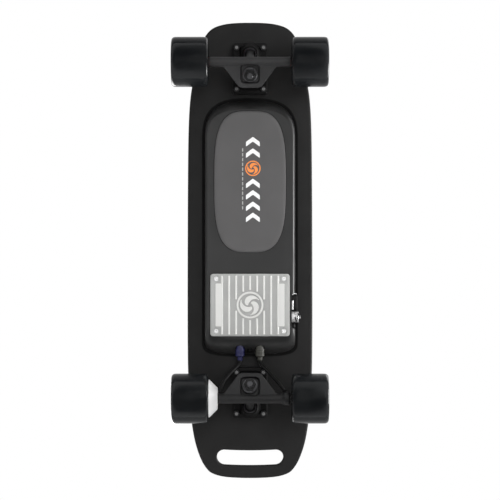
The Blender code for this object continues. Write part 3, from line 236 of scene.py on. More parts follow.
# The world's light from straight below, 0, to straight above, 1: (height, level).
LIGHT_AT_NOSE = ((0.0, 0.04), (0.09, 0.05), (0.20, 0.16), (0.50, 0.07), (0.66, 0.30), (1.0, 0.60))
LIGHT_AT_TAIL = ((0.0, 0.04), (0.09, 0.05), (0.16, 0.42), (0.50, 0.50), (0.66, 0.40), (1.0, 0.60))

SMOOTH_ANGLE = math.radians(35)


# --- Mesh helpers ---------------------------------------------------------------------------------


def new_object(name, mesh, material=None):
    """A mesh as an object of the scene, in a material if one is given."""
    obj = bpy.data.objects.new(name, mesh)
    bpy.context.scene.collection.objects.link(obj)
    if material is not None:
        mesh.materials.clear()
        mesh.materials.append(material)
    return obj


def shade(mesh, angle=SMOOTH_ANGLE):
    """Smooth shading, with edges sharper than the angle kept sharp."""
    mesh.shade_smooth()
    mesh.set_sharp_from_angle(angle=angle)


def solid(name, verts, faces, material=None):
    """A closed mesh object from points and faces, with its faces turned outwards."""
    shape = bmesh.new()
    points = [shape.verts.new(v) for v in verts]
    for face in faces:
        shape.faces.new([points[i] for i in face])
    bmesh.ops.recalc_face_normals(shape, faces=shape.faces)
    mesh = bpy.data.meshes.new(name)
    shape.to_mesh(mesh)
    shape.free()
    shade(mesh)
    return new_object(name, mesh, material)


def bridge(count, rings, closed=False):
    """Quads between rings that follow each other, and from the last to the first if closed."""
    faces = []
    for ring in range(rings if closed else rings - 1):
        low = ring * count
        high = (ring + 1) % rings * count
        for i in range(count):
            j = (i + 1) % count
            faces.append((low + i, low + j, high + j, high + i))
    return faces


def loft(name, rings, material=None):
    """A solid through rings of points, with a flat face over each end."""
    count = len(rings[0])
    verts = [point for ring in rings for point in ring]
    last = (len(rings) - 1) * count
    faces = bridge(count, len(rings))
    faces.append(tuple(range(count)))
    faces.append(tuple(range(last, last + count)))
    return solid(name, verts, faces, material)


def ring_solid(name, rings, material=None):
    """A closed band through rings that follow each other round its section."""
    verts = [point for ring in rings for point in ring]
    return solid(name, verts, bridge(len(rings[0]), len(rings), closed=True), material)


def prism(name, outline, low, high, material=None, place=Matrix(), chamfer=0.0):
    """An outline in XY extruded along Z and moved by place. The chamfer draws its ends in."""
    middle = sum((Vector(p) for p in outline), Vector((0, 0))) / len(outline)
    levels = [(low, chamfer), (low + chamfer, 0.0), (high - chamfer, 0.0), (high, chamfer)]
    if not chamfer:
        levels = [(low, 0.0), (high, 0.0)]
    rings = []
    for z, inset in levels:
        ring = []
        for point in outline:
            arm = Vector(point) - middle
            arm *= 1 - inset / max(arm.length, 1e-6)
            ring.append(place @ Vector((middle.x + arm.x, middle.y + arm.y, z)))
        rings.append(ring)
    return loft(name, rings, material)


def bend(start, corner, end, t):
    """A point on the curve from start to end that the corner pulls on."""
    return (1 - t) ** 2 * start + 2 * t * (1 - t) * corner + t * t * end


def rounded(profile, radius):
    """A profile with each corner replaced by a short curve. The ends stay where they are."""
    points = [Vector(p) for p in profile]
    result = [points[0]]
    for before, corner, after in zip(points, points[1:], points[2:]):
        reach_in = min(radius, 0.45 * (before - corner).length)
        reach_out = min(radius, 0.45 * (after - corner).length)
        start = corner + (before - corner).normalized() * reach_in
        end = corner + (after - corner).normalized() * reach_out
        for t in (0.0, 0.33, 0.67, 1.0):
            result.append(bend(start, corner, end, t))
    return [tuple(p) for p in result + [points[-1]]]


def turned(name, profile, place=Matrix(), material=None, segments=64, soft=0.0):
    """A profile of (along, radius) points turned about Z, with poles where it ends at radius 0."""
    poles = profile[0][1] == 0
    if soft and not poles:
        profile = rounded(list(profile) + [profile[0], profile[1]], soft)[1:-1]
    elif soft:
        profile = rounded(profile, soft)
    inner = profile[1:-1] if poles else profile
    verts = []
    for along, radius in inner:
        for i in range(segments):
            angle = 2 * math.pi * i / segments
            verts.append(place @ Vector((radius * math.cos(angle), radius * math.sin(angle), along)))
    faces = bridge(segments, len(inner), closed=not poles)
    if poles:
        last = (len(inner) - 1) * segments
        verts.append(place @ Vector((0, 0, profile[0][0])))
        verts.append(place @ Vector((0, 0, profile[-1][0])))
        for i in range(segments):
            j = (i + 1) % segments
            faces.append((j, i, len(verts) - 2))
            faces.append((last + i, last + j, len(verts) - 1))
    return solid(name, verts, faces, material)


def pin(low, high, radius):
    """The profile of a plain round bar."""
    return (low, 0), (low, radius), (high, radius), (high, 0)


def evaluated(obj):
    """Applies the object's modifiers to its mesh."""
    bpy.context.view_layer.update()
    mesh = bpy.data.meshes.new_from_object(obj.evaluated_get(bpy.context.evaluated_depsgraph_get()))
    obj.modifiers.clear()
    old = obj.data
    obj.data = mesh
    mesh.name = obj.name
    bpy.data.meshes.remove(old)
    return obj


def combine(target, others, operation):
    """Joins, cuts or crops target with each of the others, and removes them."""
    for other in others:
        modifier = target.modifiers.new(operation.lower(), "BOOLEAN")
        modifier.operation = operation
        modifier.object = other
        modifier.solver = "EXACT"
        evaluated(target)
        bpy.data.objects.remove(other)
    shade(target.data)
    return target


def merged(name, objects, material=None):
    """One object from several."""
    shape = bmesh.new()
    for obj in objects:
        shape.from_mesh(obj.data)
    mesh = bpy.data.meshes.new(name)
    shape.to_mesh(mesh)
    shape.free()
    material = material or objects[0].data.materials[0]
    for obj in objects:
        bpy.data.objects.remove(obj)
    shade(mesh)
    return new_object(name, mesh, material)


def copied(name, source, place):
    """The same mesh at another place."""
    mesh = source.data.copy()
    mesh.transform(place)
    mesh.name = name
    return new_object(name, mesh)


def frame_along(point, direction):
    """A frame at a point whose Z runs along direction and whose X stays level."""
    z_axis = Vector(direction).normalized()
    x_axis = Vector((1, 0, 0))
    if abs(z_axis.x) > 0.9:
        x_axis = Vector((0, 1, 0))
    y_axis = z_axis.cross(x_axis).normalized()
    x_axis = y_axis.cross(z_axis)
    return Matrix.Translation(point) @ Matrix((x_axis, y_axis, z_axis)).transposed().to_4x4()


def rounded_rectangle(width, depth, radius, centre=(0.0, 0.0), steps=8):
    """A rectangle's outline with round corners."""
    outline = []
    for side_x, side_y, start in ((1, 1, 0), (-1, 1, 90), (-1, -1, 180), (1, -1, 270)):
        middle_x = centre[0] + side_x * (width / 2 - radius)
        middle_y = centre[1] + side_y * (depth / 2 - radius)
        for step in range(steps + 1):
            angle = math.radians(start + 90 * step / steps)
            outline.append((middle_x + radius * math.cos(angle), middle_y + radius * math.sin(angle)))
    return outline


def hexagon(radius):
    """The corners of a hexagon, one of them on the X axis."""
    return [(radius * math.cos(math.pi * i / 3), radius * math.sin(math.pi * i / 3)) for i in range(6)]


def centre_of(node):
    """The middle of a CAD node's box."""
    low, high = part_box(node)
    return (low + high) / 2


def smoothstep(value):
    """An even rise from 0 to 1 that starts and ends level."""
    value = min(max(value, 0.0), 1.0)
    return value * value * (3 - 2 * value)


def smooth_route(points, steps):
    """A Catmull-Rom curve through the points, with steps stretches between each two."""
    points = [Vector(point) for point in points]
    padded = [2 * points[0] - points[1]] + points + [2 * points[-1] - points[-2]]
    route = []
    for a, b, c, d in zip(padded, padded[1:], padded[2:], padded[3:]):
        for step in range(steps):
            t = step / steps
            curve = 2 * b + (c - a) * t + (2 * a - 5 * b + 4 * c - d) * t**2 + (3 * b - a - 3 * c + d) * t**3
            route.append(curve / 2)
    return route + [points[-1]]


def tube(name, points, radius, material, segments=16):
    """A round cable along points, its rings carried along without twist."""
    points = [Vector(p) for p in points]
    rings = []
    side = Vector((0, 0, 1))
    for i, point in enumerate(points):
        along = (points[min(i + 1, len(points) - 1)] - points[max(i - 1, 0)]).normalized()
        side = (side - along * side.dot(along)).normalized()
        other = along.cross(side)
        ring = []
        for step in range(segments):
            angle = 2 * math.pi * step / segments
            ring.append(point + radius * (math.cos(angle) * side + math.sin(angle) * other))
        rings.append(ring)
    return loft(name, rings, material)


def attach(obj, body, slot=None, *nodes):
    """The piece rides on a body and stands for CAD nodes, whose meshes it hides. The slot is not used."""
    if nodes:
        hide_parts(*nodes)
    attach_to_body(obj, body)
    return obj


def stretched(obj, slot, node, bodies, start, end):
    """Hides the CAD node and bakes the piece's place into its mesh; slot, bodies, start and end are unused.
    """
    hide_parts(node)
    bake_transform(obj)


# --- Materials ------------------------------------------------------------------------------------


def put(node, values):
    """Sets several inputs of a shader node."""
    for name, value in values.items():
        node.inputs[name].default_value = value


def surface(
    name, colour, roughness, metallic=0.0, grain=1800.0, relief=0.00002, blotch=0.12, stretch=(1, 1, 1),
    coat=0.0, transmission=0.0, emission=0.0, specular=0.5,
):
    """A material whose colour, gloss and relief vary with noise in the part's own frame.

    grain is the fine noise's scale per metre and relief its height; blotch is how far the broad noise shifts
    the colour.
    """
    material = bpy.data.materials.new(name)
    material.use_nodes = True
    nodes = material.node_tree.nodes
    links = material.node_tree.links
    shader = nodes["Principled BSDF"]
    put(shader, {
        "Metallic": metallic, "Coat Weight": coat, "Coat Roughness": 0.12,
        "Transmission Weight": transmission, "Specular IOR Level": specular,
    })
    if emission:
        put(shader, {"Emission Color": (*colour, 1.0), "Emission Strength": emission})
    coordinates = nodes.new("ShaderNodeTexCoord")
    mapping = nodes.new("ShaderNodeMapping")
    put(mapping, {"Scale": stretch})
    links.new(coordinates.outputs["Object"], mapping.inputs["Vector"])
    fine = nodes.new("ShaderNodeTexNoise")
    put(fine, {"Scale": grain, "Detail": 3.0})
    broad = nodes.new("ShaderNodeTexNoise")
    put(broad, {"Scale": 28.0, "Detail": 5.0})
    for noise in (fine, broad):
        links.new(mapping.outputs["Vector"], noise.inputs["Vector"])
    ramp = nodes.new("ShaderNodeValToRGB")
    for element, position, tone in zip(ramp.color_ramp.elements, (0.32, 0.68), (1 - blotch, 1 + blotch)):
        element.position = position
        element.color = (*[min(c * tone, 1.0) for c in colour], 1.0)
    links.new(broad.outputs["Fac"], ramp.inputs["Fac"])
    links.new(ramp.outputs["Color"], shader.inputs["Base Color"])
    gloss = nodes.new("ShaderNodeMapRange")
    put(gloss, {
        "From Min": 0.3, "From Max": 0.7,
        "To Min": max(roughness - 0.06, 0.02), "To Max": min(roughness + 0.08, 1.0),
    })
    links.new(broad.outputs["Fac"], gloss.inputs["Value"])
    links.new(gloss.outputs["Result"], shader.inputs["Roughness"])
    bump = nodes.new("ShaderNodeBump")
    put(bump, {"Distance": relief, "Strength": 1.0})
    links.new(fine.outputs["Fac"], bump.inputs["Height"])
    links.new(bump.outputs["Normal"], shader.inputs["Normal"])
    return material


def make_materials():
    """Every material, under the name that the pieces ask for it by."""
    brushed = (1.0, 0.06, 1.0)
    return {
        "deck": surface(
            "deck_lacquer", (0.0090, 0.0088, 0.0088), 0.46, grain=2200, relief=0.00003, specular=0.14,
        ),
        "grip": surface(
            "grip_rubber", (0.0025, 0.0023, 0.0023), 0.62, grain=1400, relief=0.00012, specular=0.15,
        ),
        "grip_rib": surface("grip_rib_rubber", (0.025, 0.023, 0.022), 0.6, grain=1800, relief=0.00008),
        "grip_line": surface("grip_rib_edge", (0.27, 0.25, 0.24), 0.55, grain=1800, relief=0.00005),
        # Grey print on the mat, also used for the painted highlight ring on the front tyres.
        "print_grey_and_highlight": surface(
            "grey_print_and_painted_highlight", (0.185, 0.180, 0.168), 0.5, grain=1500, relief=0.00007, blotch=0.07,
        ),
        "display": surface("display_glass", (0.52, 0.52, 0.56), 0.12, blotch=0.03, relief=0.0, coat=0.6),
        "display_frame": surface("display_bezel", (0.006, 0.006, 0.007), 0.3),
        "icon": surface("display_icon", (0.16, 0.12, 0.62), 0.25, emission=0.35, blotch=0.05, relief=0.0),
        "casing": surface(
            "casing_plastic", (0.0125, 0.0125, 0.0125), 0.34, grain=1500, relief=0.00003, blotch=0.06,
            specular=0.40,
        ),
        "label": surface(
            "label_satin", (0.084, 0.082, 0.083), 0.40, grain=2600, relief=0.00001, blotch=0.04,
            specular=0.25,
        ),
        "dash_grey": surface("dash_print", (0.38, 0.38, 0.37), 0.4, blotch=0.03, relief=0.00001),
        "print_white": surface("white_print", (0.84, 0.84, 0.84), 0.4, blotch=0.03, relief=0.00001),
        "orange": surface(
            "orange_enamel", (0.86, 0.24, 0.020), 0.32, blotch=0.06, relief=0.00001, coat=0.4,
        ),
        "heatsink": surface(
            "cast_aluminium", (0.360, 0.363, 0.355), 0.46, metallic=0.35, grain=900, relief=0.00006,
            blotch=0.05,
        ),
        "heatsink_bright": surface(
            "milled_aluminium", (0.62, 0.62, 0.605), 0.40, metallic=0.35, grain=700, relief=0.00003,
            stretch=brushed, blotch=0.05,
        ),
        "black_metal": surface(
            "black_casting", (0.0022, 0.0021, 0.0022), 0.50, metallic=0.0, grain=1100, relief=0.00010,
            blotch=0.15, specular=0.12,
        ),
        # The two hangers are one black casting in lit and shaded copies: the front painted lighter, the rear
        # painted darker.
        "hanger_front": surface(
            "front_casting_painted_light", (0.024, 0.024, 0.025), 0.42, metallic=0.1, grain=1100, relief=0.00010,
            blotch=0.12, specular=0.45,
        ),
        "hanger_rear": surface(
            "rear_casting_painted_shade", (0.0095, 0.0095, 0.0100), 0.42, metallic=0.1, grain=1100, relief=0.00010,
            blotch=0.12, specular=0.38,
        ),
        "motor_cover": surface(
            "cover_anodised", (0.012, 0.012, 0.014), 0.34, metallic=0.3, grain=1600, relief=0.00003,
        ),
        "cover_ring": surface(
            "cover_ring_anodised", (0.040, 0.037, 0.037), 0.42, metallic=0.4, grain=1600,
            relief=0.00003,
        ),
        # Aluminium with its colour raised to near white: its own silver tone plus a painted highlight.
        "flange": surface(
            "aluminium_painted_white_highlight", (0.92, 0.92, 0.92), 0.34, metallic=0.15, grain=700, relief=0.00002,
            blotch=0.03,
        ),
        "steel": surface(
            "bright_steel", (0.80, 0.80, 0.80), 0.26, metallic=0.45, grain=900, relief=0.00002,
        ),
        "dark_steel": surface(
            "dark_steel", (0.10, 0.10, 0.105), 0.35, metallic=0.9, grain=900, relief=0.00003,
        ),
        "black_steel": surface(
            "black_steel", (0.0075, 0.0075, 0.0080), 0.42, metallic=0.1, grain=900, relief=0.00003,
            specular=0.3,
        ),
        "zinc": surface("zinc_plate", (0.13, 0.13, 0.13), 0.40, metallic=0.2, grain=900, relief=0.00002),
        "urethane": surface(
            "black_urethane", (0.0075, 0.0085, 0.0095), 0.16, grain=500, relief=0.00002, blotch=0.15,
            specular=0.42,
        ),
        "core": surface(
            "orange_core", (0.90, 0.115, 0.025), 0.16, grain=400, relief=0.00002, transmission=0.25,
            coat=0.6, blotch=0.10,
        ),
        "bushing": surface("bushing_urethane", (0.012, 0.011, 0.013), 0.42, grain=800, relief=0.00003),
        "rubber": surface(
            "black_rubber", (0.004, 0.004, 0.004), 0.60, grain=1300, relief=0.00006, specular=0.2,
        ),
        # Near-black rubber for the casing's seal and bay, also used for the painted shadow lines round the
        # label and heatsink.
        "seal_and_shadow": surface(
            "seal_rubber_and_painted_shadow", (0.0015, 0.0015, 0.0015), 0.7, grain=1300, relief=0.00005, specular=0.08,
        ),
        "plug_navy": surface("plug_navy", (0.010, 0.011, 0.060), 0.42, grain=1500, relief=0.00003),
        "plug_grey": surface("plug_grey", (0.040, 0.040, 0.033), 0.45, grain=1500, relief=0.00003),
        "cable": surface(
            "cable_jacket", (0.004, 0.004, 0.004), 0.48, grain=1700, relief=0.00003, specular=0.2,
        ),
        "cells": surface("cell_wrap", (0.05, 0.12, 0.35), 0.35, grain=600, relief=0.00004),
        "circuit_board": surface("controller_can", (0.30, 0.30, 0.31), 0.4, metallic=0.8, grain=900),
        "stator": surface(
            "copper_windings", (0.72, 0.33, 0.15), 0.35, metallic=1.0, grain=1200, relief=0.0002,
        ),
    }


# --- Deck and mat ---------------------------------------------------------------------------------


def profile_half_width(profile, distance):
    """Half width at a distance from a tip: a cubic through the profile, in the root of the distance."""
    knots = [(math.sqrt(d), w) for d, w in profile]
    at = math.sqrt(max(distance, 0.0))
    if at >= knots[-1][0]:
        return knots[-1][1]
    slopes = []
    for i in range(len(knots)):
        before = knots[max(i - 1, 0)]
        after = knots[min(i + 1, len(knots) - 1)]
        slopes.append((after[1] - before[1]) / (after[0] - before[0]))
    slopes[-1] = 0.0
    for i, ((x0, w0), (x1, w1)) in enumerate(zip(knots, knots[1:])):
        if at <= x1:
            span = x1 - x0
            t = (at - x0) / span
            start = (1 + 2 * t) * (1 - t) ** 2 * w0 + t * (1 - t) ** 2 * span * slopes[i]
            end = t * t * (3 - 2 * t) * w1 + t * t * (t - 1) * span * slopes[i + 1]
            return start + end
    return knots[0][1]


def deck_rise(x, y):
    """How far the deck lies above its flat middle: the concave edges and the kick of the tail."""
    from_tip = min(DECK_NOSE_Y - y, y - DECK_TAIL_Y)
    across = abs(x) / DECK_HALF_WIDTH
    concave = CONCAVE_RISE * smoothstep((across - CONCAVE_START) / (1 - CONCAVE_START))
    concave *= smoothstep(from_tip / CONCAVE_FADE)
    from_tail = y - DECK_TAIL_Y
    kick = KICK_RISE * max(1 - from_tail / KICK_LENGTH, 0.0) ** KICK_POWER
    return concave + kick


def profile_points(profile, steps):
    """(distance from the tip, half width) along a profile, closest together at the tip."""
    reach = math.sqrt(profile[-1][0])
    distances = [(reach * i / steps) ** 2 for i in range(steps + 1)]
    return [(distance, profile_half_width(profile, distance)) for distance in distances]


def edge_line():
    """The deck's right edge, from the nose's corner to the tail's."""
    front = [Vector((x, DECK_NOSE_Y - d)) for d, x in profile_points(NOSE_PROFILE, 48)]
    rear = [Vector((x, DECK_TAIL_Y + d)) for d, x in profile_points(TAIL_PROFILE, 38)]
    return front + rear[::-1]


def inset(line, margin):
    """The line moved towards the deck's middle, without the points that would fold over."""
    moved = []
    for i, point in enumerate(line):
        before = line[max(i - 1, 0)]
        after = line[min(i + 1, len(line) - 1)]
        along = (after - before).normalized()
        if i == 0:
            along = Vector((1, 0))
        if i == len(line) - 1:
            along = Vector((-1, 0))
        moved.append(point - margin * Vector((-along.y, along.x)))
    return moved


def slab(name, line, levels, material, columns=16):
    """A solid over the deck's plan, of levels (inset from the line, height above the deck's middle)."""
    rows = len(line)
    loops = []
    for margin, height in levels:
        side = inset(line, margin)
        front = [Vector((side[0].x * (2 * k / columns - 1), side[0].y)) for k in range(columns + 1)]
        back = [Vector((side[-1].x * (1 - 2 * k / columns), side[-1].y)) for k in range(columns + 1)]
        left = [Vector((-p.x, p.y)) for p in side[-2:0:-1]]
        loop = front + side[1:-1] + back + left
        loops.append([(p.x, p.y, height + deck_rise(p.x, p.y)) for p in loop])
    count = len(loops[0])
    verts = [point for loop in loops for point in loop]
    faces = bridge(count, len(loops))
    for loop_index, (_, height) in ((0, levels[0]), (len(levels) - 1, levels[-1])):
        base = loop_index * count
        back_start = columns + rows - 1
        grid = [[base + k for k in range(columns + 1)]]
        for row in range(1, rows - 1):
            right = base + columns + row
            left = base + count - row
            x, y, _ = verts[right]
            ids = [left]
            for k in range(1, columns):
                across = x * (2 * k / columns - 1)
                verts.append((across, y, height + deck_rise(across, y)))
                ids.append(len(verts) - 1)
            grid.append(ids + [right])
        grid.append([base + back_start + columns - k for k in range(columns + 1)])
        for low, high in zip(grid, grid[1:]):
            for k in range(columns):
                faces.append((low[k], low[k + 1], high[k + 1], high[k]))
    return solid(name, verts, faces, material)


def lifted(place, z, lift):
    """A plan point at height z, raised by lift(x, y) if there is one."""
    return place.x, place.y, z + (lift(place.x, place.y) if lift else 0.0)


def ribbon(name, points, halves, low, high, material=None, offset=0.0, lift=deck_rise, chamfer=0.0):
    """A flat bar along points in plan, halves wide to each side of the line moved sideways by offset."""
    points = [Vector(p) for p in points]
    rings = []
    for i, point in enumerate(points):
        along = (points[min(i + 1, len(points) - 1)] - points[max(i - 1, 0)]).normalized()
        normal = Vector((-along.y, along.x))
        half = halves[i] if isinstance(halves, (list, tuple)) else halves
        middle = point + normal * offset
        bevel = min(chamfer, 0.4 * half)
        section = ((half, low), (half, high - math.copysign(bevel, high - low)), (half - bevel, high))
        section += tuple((-reach, z) for reach, z in reversed(section))
        ring = []
        for reach, z in section:
            ring.append(lifted(middle + normal * reach, z, lift))
        rings.append(ring)
    return loft(name, rings, material)


def filleted(outline, radius, steps=5):
    """A closed outline with each corner replaced by a short curve."""
    result = []
    count = len(outline)
    for i, corner in enumerate(outline):
        arms = [outline[i - 1] - corner, outline[(i + 1) % count] - corner]
        start, end = [corner + arm.normalized() * min(radius, 0.45 * arm.length) for arm in arms]
        for step in range(steps + 1):
            t = step / steps
            result.append(bend(start, corner, end, t))
    return result


def plate(name, outline, levels, material=None, lift=None):
    """A solid over a closed plan, of levels (inset, height)."""
    rings = []
    count = len(outline)
    for margin, height in levels:
        ring = []
        for i, point in enumerate(outline):
            along = (outline[(i + 1) % count] - outline[i - 1]).normalized()
            ring.append(lifted(point + margin * Vector((along.y, -along.x)), height, lift))
        rings.append(ring)
    return loft(name, rings, material)


def chevron(centre, size, levels, radius, lift=None):
    """A wide V that points up the Y axis; size is its half width, its length and its thickness along Y."""
    half_width, length, thickness = size
    middle = Vector(centre)
    upper = [(half_width, thickness - length / 2), (0, length / 2), (-half_width, thickness - length / 2)]
    lower = [(-half_width, -length / 2), (0, length / 2 - thickness), (half_width, -length / 2)]
    outline = [middle + Vector(p) for p in reversed(upper + lower)]
    return plate("chevron", filleted(outline, radius), levels, lift=lift)


def handle_outline(margin):
    """The handle slot's outline, wider by margin all round."""
    radius = HANDLE_HALF_WIDTH + margin
    straight = HANDLE_HALF_LENGTH - HANDLE_HALF_WIDTH
    outline = []
    for side in (1, -1):
        for step in range(17):
            angle = math.radians(-90 + 11.25 * step)
            outline.append((side * (straight + radius * math.cos(angle)), side * radius * math.sin(angle)))
        for step in range(1, 9):
            outline.append((side * straight * (1 - step / 4.5), side * radius))
    bowed = []
    for x, y in outline:
        bow = HANDLE_BOW * (1 - min((x / HANDLE_HALF_LENGTH) ** 2, 1.0))
        bowed.append((x, HANDLE_Y + y - bow))
    return bowed


def handle_cutter(levels):
    """A cutter through the handle slot, of levels (margin, height above the deck's middle line)."""
    rings = []
    for margin, height in levels:
        rings.append([(x, y, height + deck_rise(x, y)) for x, y in handle_outline(margin)])
    return loft("handle_cutter", rings)


def quarter_turn(radius, angles):
    """(inset, depth) along a rounded edge at each angle, from its face at 0 to its side at 90 degrees."""
    turns = [math.radians(angle) for angle in angles]
    return [(radius * (1 - math.sin(turn)), radius * (1 - math.cos(turn))) for turn in turns]


def make_deck(materials):
    """Pressed plywood with rounded edges, a fine groove round its side, a handle slot and bolt holes."""
    levels = []
    for inwards, up in quarter_turn(DECK_EDGE_RADIUS, range(0, 91, 15)):
        levels.append((inwards, DECK_UNDERSIDE + up))
    groove = DECK_TOP - 0.0032
    levels += [(0.0, groove - 0.0004), (DECK_GROOVE, groove - 0.0002), (DECK_GROOVE, groove + 0.0002)]
    levels.append((0.0001, groove + 0.0005))
    for inwards, down in quarter_turn(DECK_RIM_RADIUS, range(90, -1, -15)):
        levels.append((0.0001 + inwards, DECK_TOP - down))
    deck = slab("deck_shell", edge_line(), levels, materials["deck"])
    slot = [(margin, DECK_UNDERSIDE + depth) for margin, depth in HANDLE_EDGE]
    slot += [(margin, DECK_TOP - depth) for margin, depth in reversed(HANDLE_EDGE)]
    cutters = [handle_cutter(slot)]
    hole = (
        (0.08, 0), (0.08, BOLT_HOLE_RADIUS), (DECK_TOP - BOLT_HOLE_RADIUS, BOLT_HOLE_RADIUS),
        (DECK_TOP, BOLT_SEAT_RADIUS), (0.15, BOLT_SEAT_RADIUS), (0.15, 0),
    )
    for end in ("front", "rear"):
        for index in range(1, 5):
            bolt = centre_of(f"truck_bolt_{end}_{index}")
            cutters.append(turned("hole", hole, Matrix.Translation((bolt.x, bolt.y, 0)), segments=32))
    combine(deck, cutters, "DIFFERENCE")
    attach(deck, "board", "deck", "deck")


def display_window(margin):
    """The display's outline, wider by margin all round."""
    low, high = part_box("display_lens")
    size = high - low
    centre = (low + high) / 2
    return rounded_rectangle(
        size.x + 2 * margin, size.y + 2 * margin, 0.002 + margin, (centre.x, centre.y), steps=6
    )


def border_pieces(line, materials):
    """The grey line round the mat, which splits into two tapering strands beside the handle."""
    middle = inset(line, BORDER_MARGIN + BORDER_WIDTH / 2)
    right = [p for p in middle if p.y > BORDER_SPLIT]
    last, following = middle[len(right) - 1], middle[len(right)]
    right.append(Vector((last.x, BORDER_SPLIT)).lerp(Vector((following.x, BORDER_SPLIT)), 0.5))
    nose = [Vector((right[0].x * k / 6, right[0].y)) for k in range(-5, 6)]
    left = [Vector((-p.x, p.y)) for p in right]
    around = left[::-1] + nose + right
    low = GRIP_BASE - 0.0005
    pieces = [ribbon("border", around, BORDER_WIDTH / 2, low, RIB_EDGE_TOP, chamfer=0.0003)]
    start = right[-1]
    for side in (-1, 1):
        outer = smooth_route(
            [start + Vector((0.0018, 0.0004)), Vector((0.0712, -0.300)), Vector((0.0655, -0.314)),
             Vector((0.0565, -0.3268))], 6,
        )
        inner = smooth_route(
            [start - Vector((0.0018, -0.0004)), Vector((0.0655, -0.2920)), Vector((0.0590, -0.2985)),
             Vector((0.0500, -0.3035))], 6,
        )
        for name, strand, wide, thin in (("outer", outer, 0.0019, 0.0005), ("inner", inner, 0.0019, 0.0027)):
            points = [Vector((side * p.x, p.y)) for p in strand]
            halves = [wide + (thin - wide) * (i / (len(points) - 1)) ** 1.5 for i in range(len(points))]
            pieces.append(ribbon(name, points, halves, low, RIB_EDGE_TOP, chamfer=0.0003))
    return merged("grip_border", pieces, materials["print_grey_and_highlight"])


def grip_field(line):
    """The right edge of the ribs' field, with its rear corner rounded."""
    field = [p for p in inset(line, FIELD_MARGIN) if p.y > FIELD_REAR]
    last = field[-1].copy()
    for angle in (15, 35, 60, 90):
        turn = math.radians(angle)
        place = (last.x - FIELD_CORNER * (1 - math.cos(turn)), FIELD_REAR - 0.006 * math.sin(turn))
        field.append(Vector(place))
    return field


def grip_ribs():
    """Diagonal ribs over the whole deck, and the fine bright edge beside each."""
    ribs, edges = [], []
    along = Vector((math.cos(RIB_ANGLE), -math.sin(RIB_ANGLE)))
    beside = (RIB_EDGE_WIDTH + RIB_WIDTH) / 2 + 0.0004
    for index in range(RIB_COUNT):
        crossing = Vector((0.0, DECK_NOSE_Y + 0.05 - index * RIB_PITCH))
        points = [crossing + along * (RIB_REACH * (2 * i / 22 - 1)) for i in range(23)]
        points = [p for p in points if DECK_TAIL_Y + 0.004 < p.y < DECK_NOSE_Y - 0.004 and abs(p.x) < 0.087]
        if len(points) < 2:
            continue
        low = GRIP_BASE - 0.0004
        edges.append(ribbon("edge", points, RIB_EDGE_WIDTH / 2, low, RIB_EDGE_TOP, chamfer=0.0002))
        low = GRIP_BASE - 0.0005
        ribs.append(ribbon("rib", points, RIB_WIDTH / 2, low, RIB_TOP, offset=beside, chamfer=0.0002))
    return ribs, edges


def make_grip(materials):
    """The rubber skin with its border, its field of diagonal ribs and a row of chevrons over them."""
    line = edge_line()
    levels = [(0, DECK_TOP + 0.0001), (0, GRIP_BASE - 0.0004), (0.0004, GRIP_BASE)]
    base = slab("grip_base", inset(line, GRIP_MARGIN), levels, materials["grip"], columns=32)
    slot = [(0.0036, DECK_TOP - 0.003), (0.0036, GRIP_BASE - 0.0004), (0.0042, GRIP_BASE + 0.0004)]
    window = prism("window", display_window(0.0003), 0.10, 0.15)
    combine(base, [handle_cutter(slot), window], "DIFFERENCE")
    attach(base, "board", "grip", "grip_mat")
    attach(border_pieces(line, materials), "board", "grip")

    field = grip_field(line)
    ribs, edges = grip_ribs()
    for name, pieces, finish in (("grip_ribs", ribs, "grip_rib"), ("grip_rib_edges", edges, "grip_line")):
        whole = merged(name, pieces, materials[finish])
        crop = slab("field", field, [(0, GRIP_BASE - 0.0010), (0, GRIP_TOP + 0.0010)], None, columns=16)
        combine(whole, [crop], "INTERSECT")
        combine(whole, [prism("window", display_window(0.0012), 0.10, 0.15)], "DIFFERENCE")
        attach(whole, "board", "grip")
    nose = [Vector((field[0].x * k / 6, field[0].y)) for k in range(-5, 6)]
    tail = [Vector((field[-1].x * k / 6, field[-1].y)) for k in range(5, -6, -1)]
    left = [Vector((-p.x, p.y)) for p in field]
    loop = nose + field + tail + left[::-1]
    low = GRIP_BASE - 0.0004
    frame_line = ring_ribbon("grip_field_line", loop, 0.0006, low, RIB_TOP, materials["grip_line"])
    attach(frame_line, "board", "grip")

    start, end = CHEVRON_SPAN
    pitch = (start - end) / CHEVRONS
    motifs = []
    top = GRIP_TOP - 0.00002
    levels = ((0.0, GRIP_BASE - 0.0006), (0.0, top - 0.0002), (0.0002, top))
    for index in range(CHEVRONS):
        centre = (CHEVRON_CENTRE, start - pitch * (index + 0.5))
        motifs.append(chevron(centre, CHEVRON_SIZE, levels, 0.0045, deck_rise))
    motif = merged("grip_chevrons", motifs, materials["print_grey_and_highlight"])
    combine(motif, [prism("window", display_window(0.0012), 0.10, 0.15)], "DIFFERENCE")
    attach(motif, "board", "grip")


def ring_ribbon(name, loop, half, low, high, material, lift=deck_rise):
    """A closed flat bar round a loop of points in plan, half wide to each side."""
    rings = [[], [], [], []]
    count = len(loop)
    for i, point in enumerate(loop):
        along = (loop[(i + 1) % count] - loop[i - 1]).normalized()
        normal = Vector((-along.y, along.x))
        for ring, (reach, z) in zip(rings, ((half, low), (half, high), (-half, high), (-half, low))):
            ring.append(lifted(point + normal * reach, z, lift))
    return ring_solid(name, rings, material)


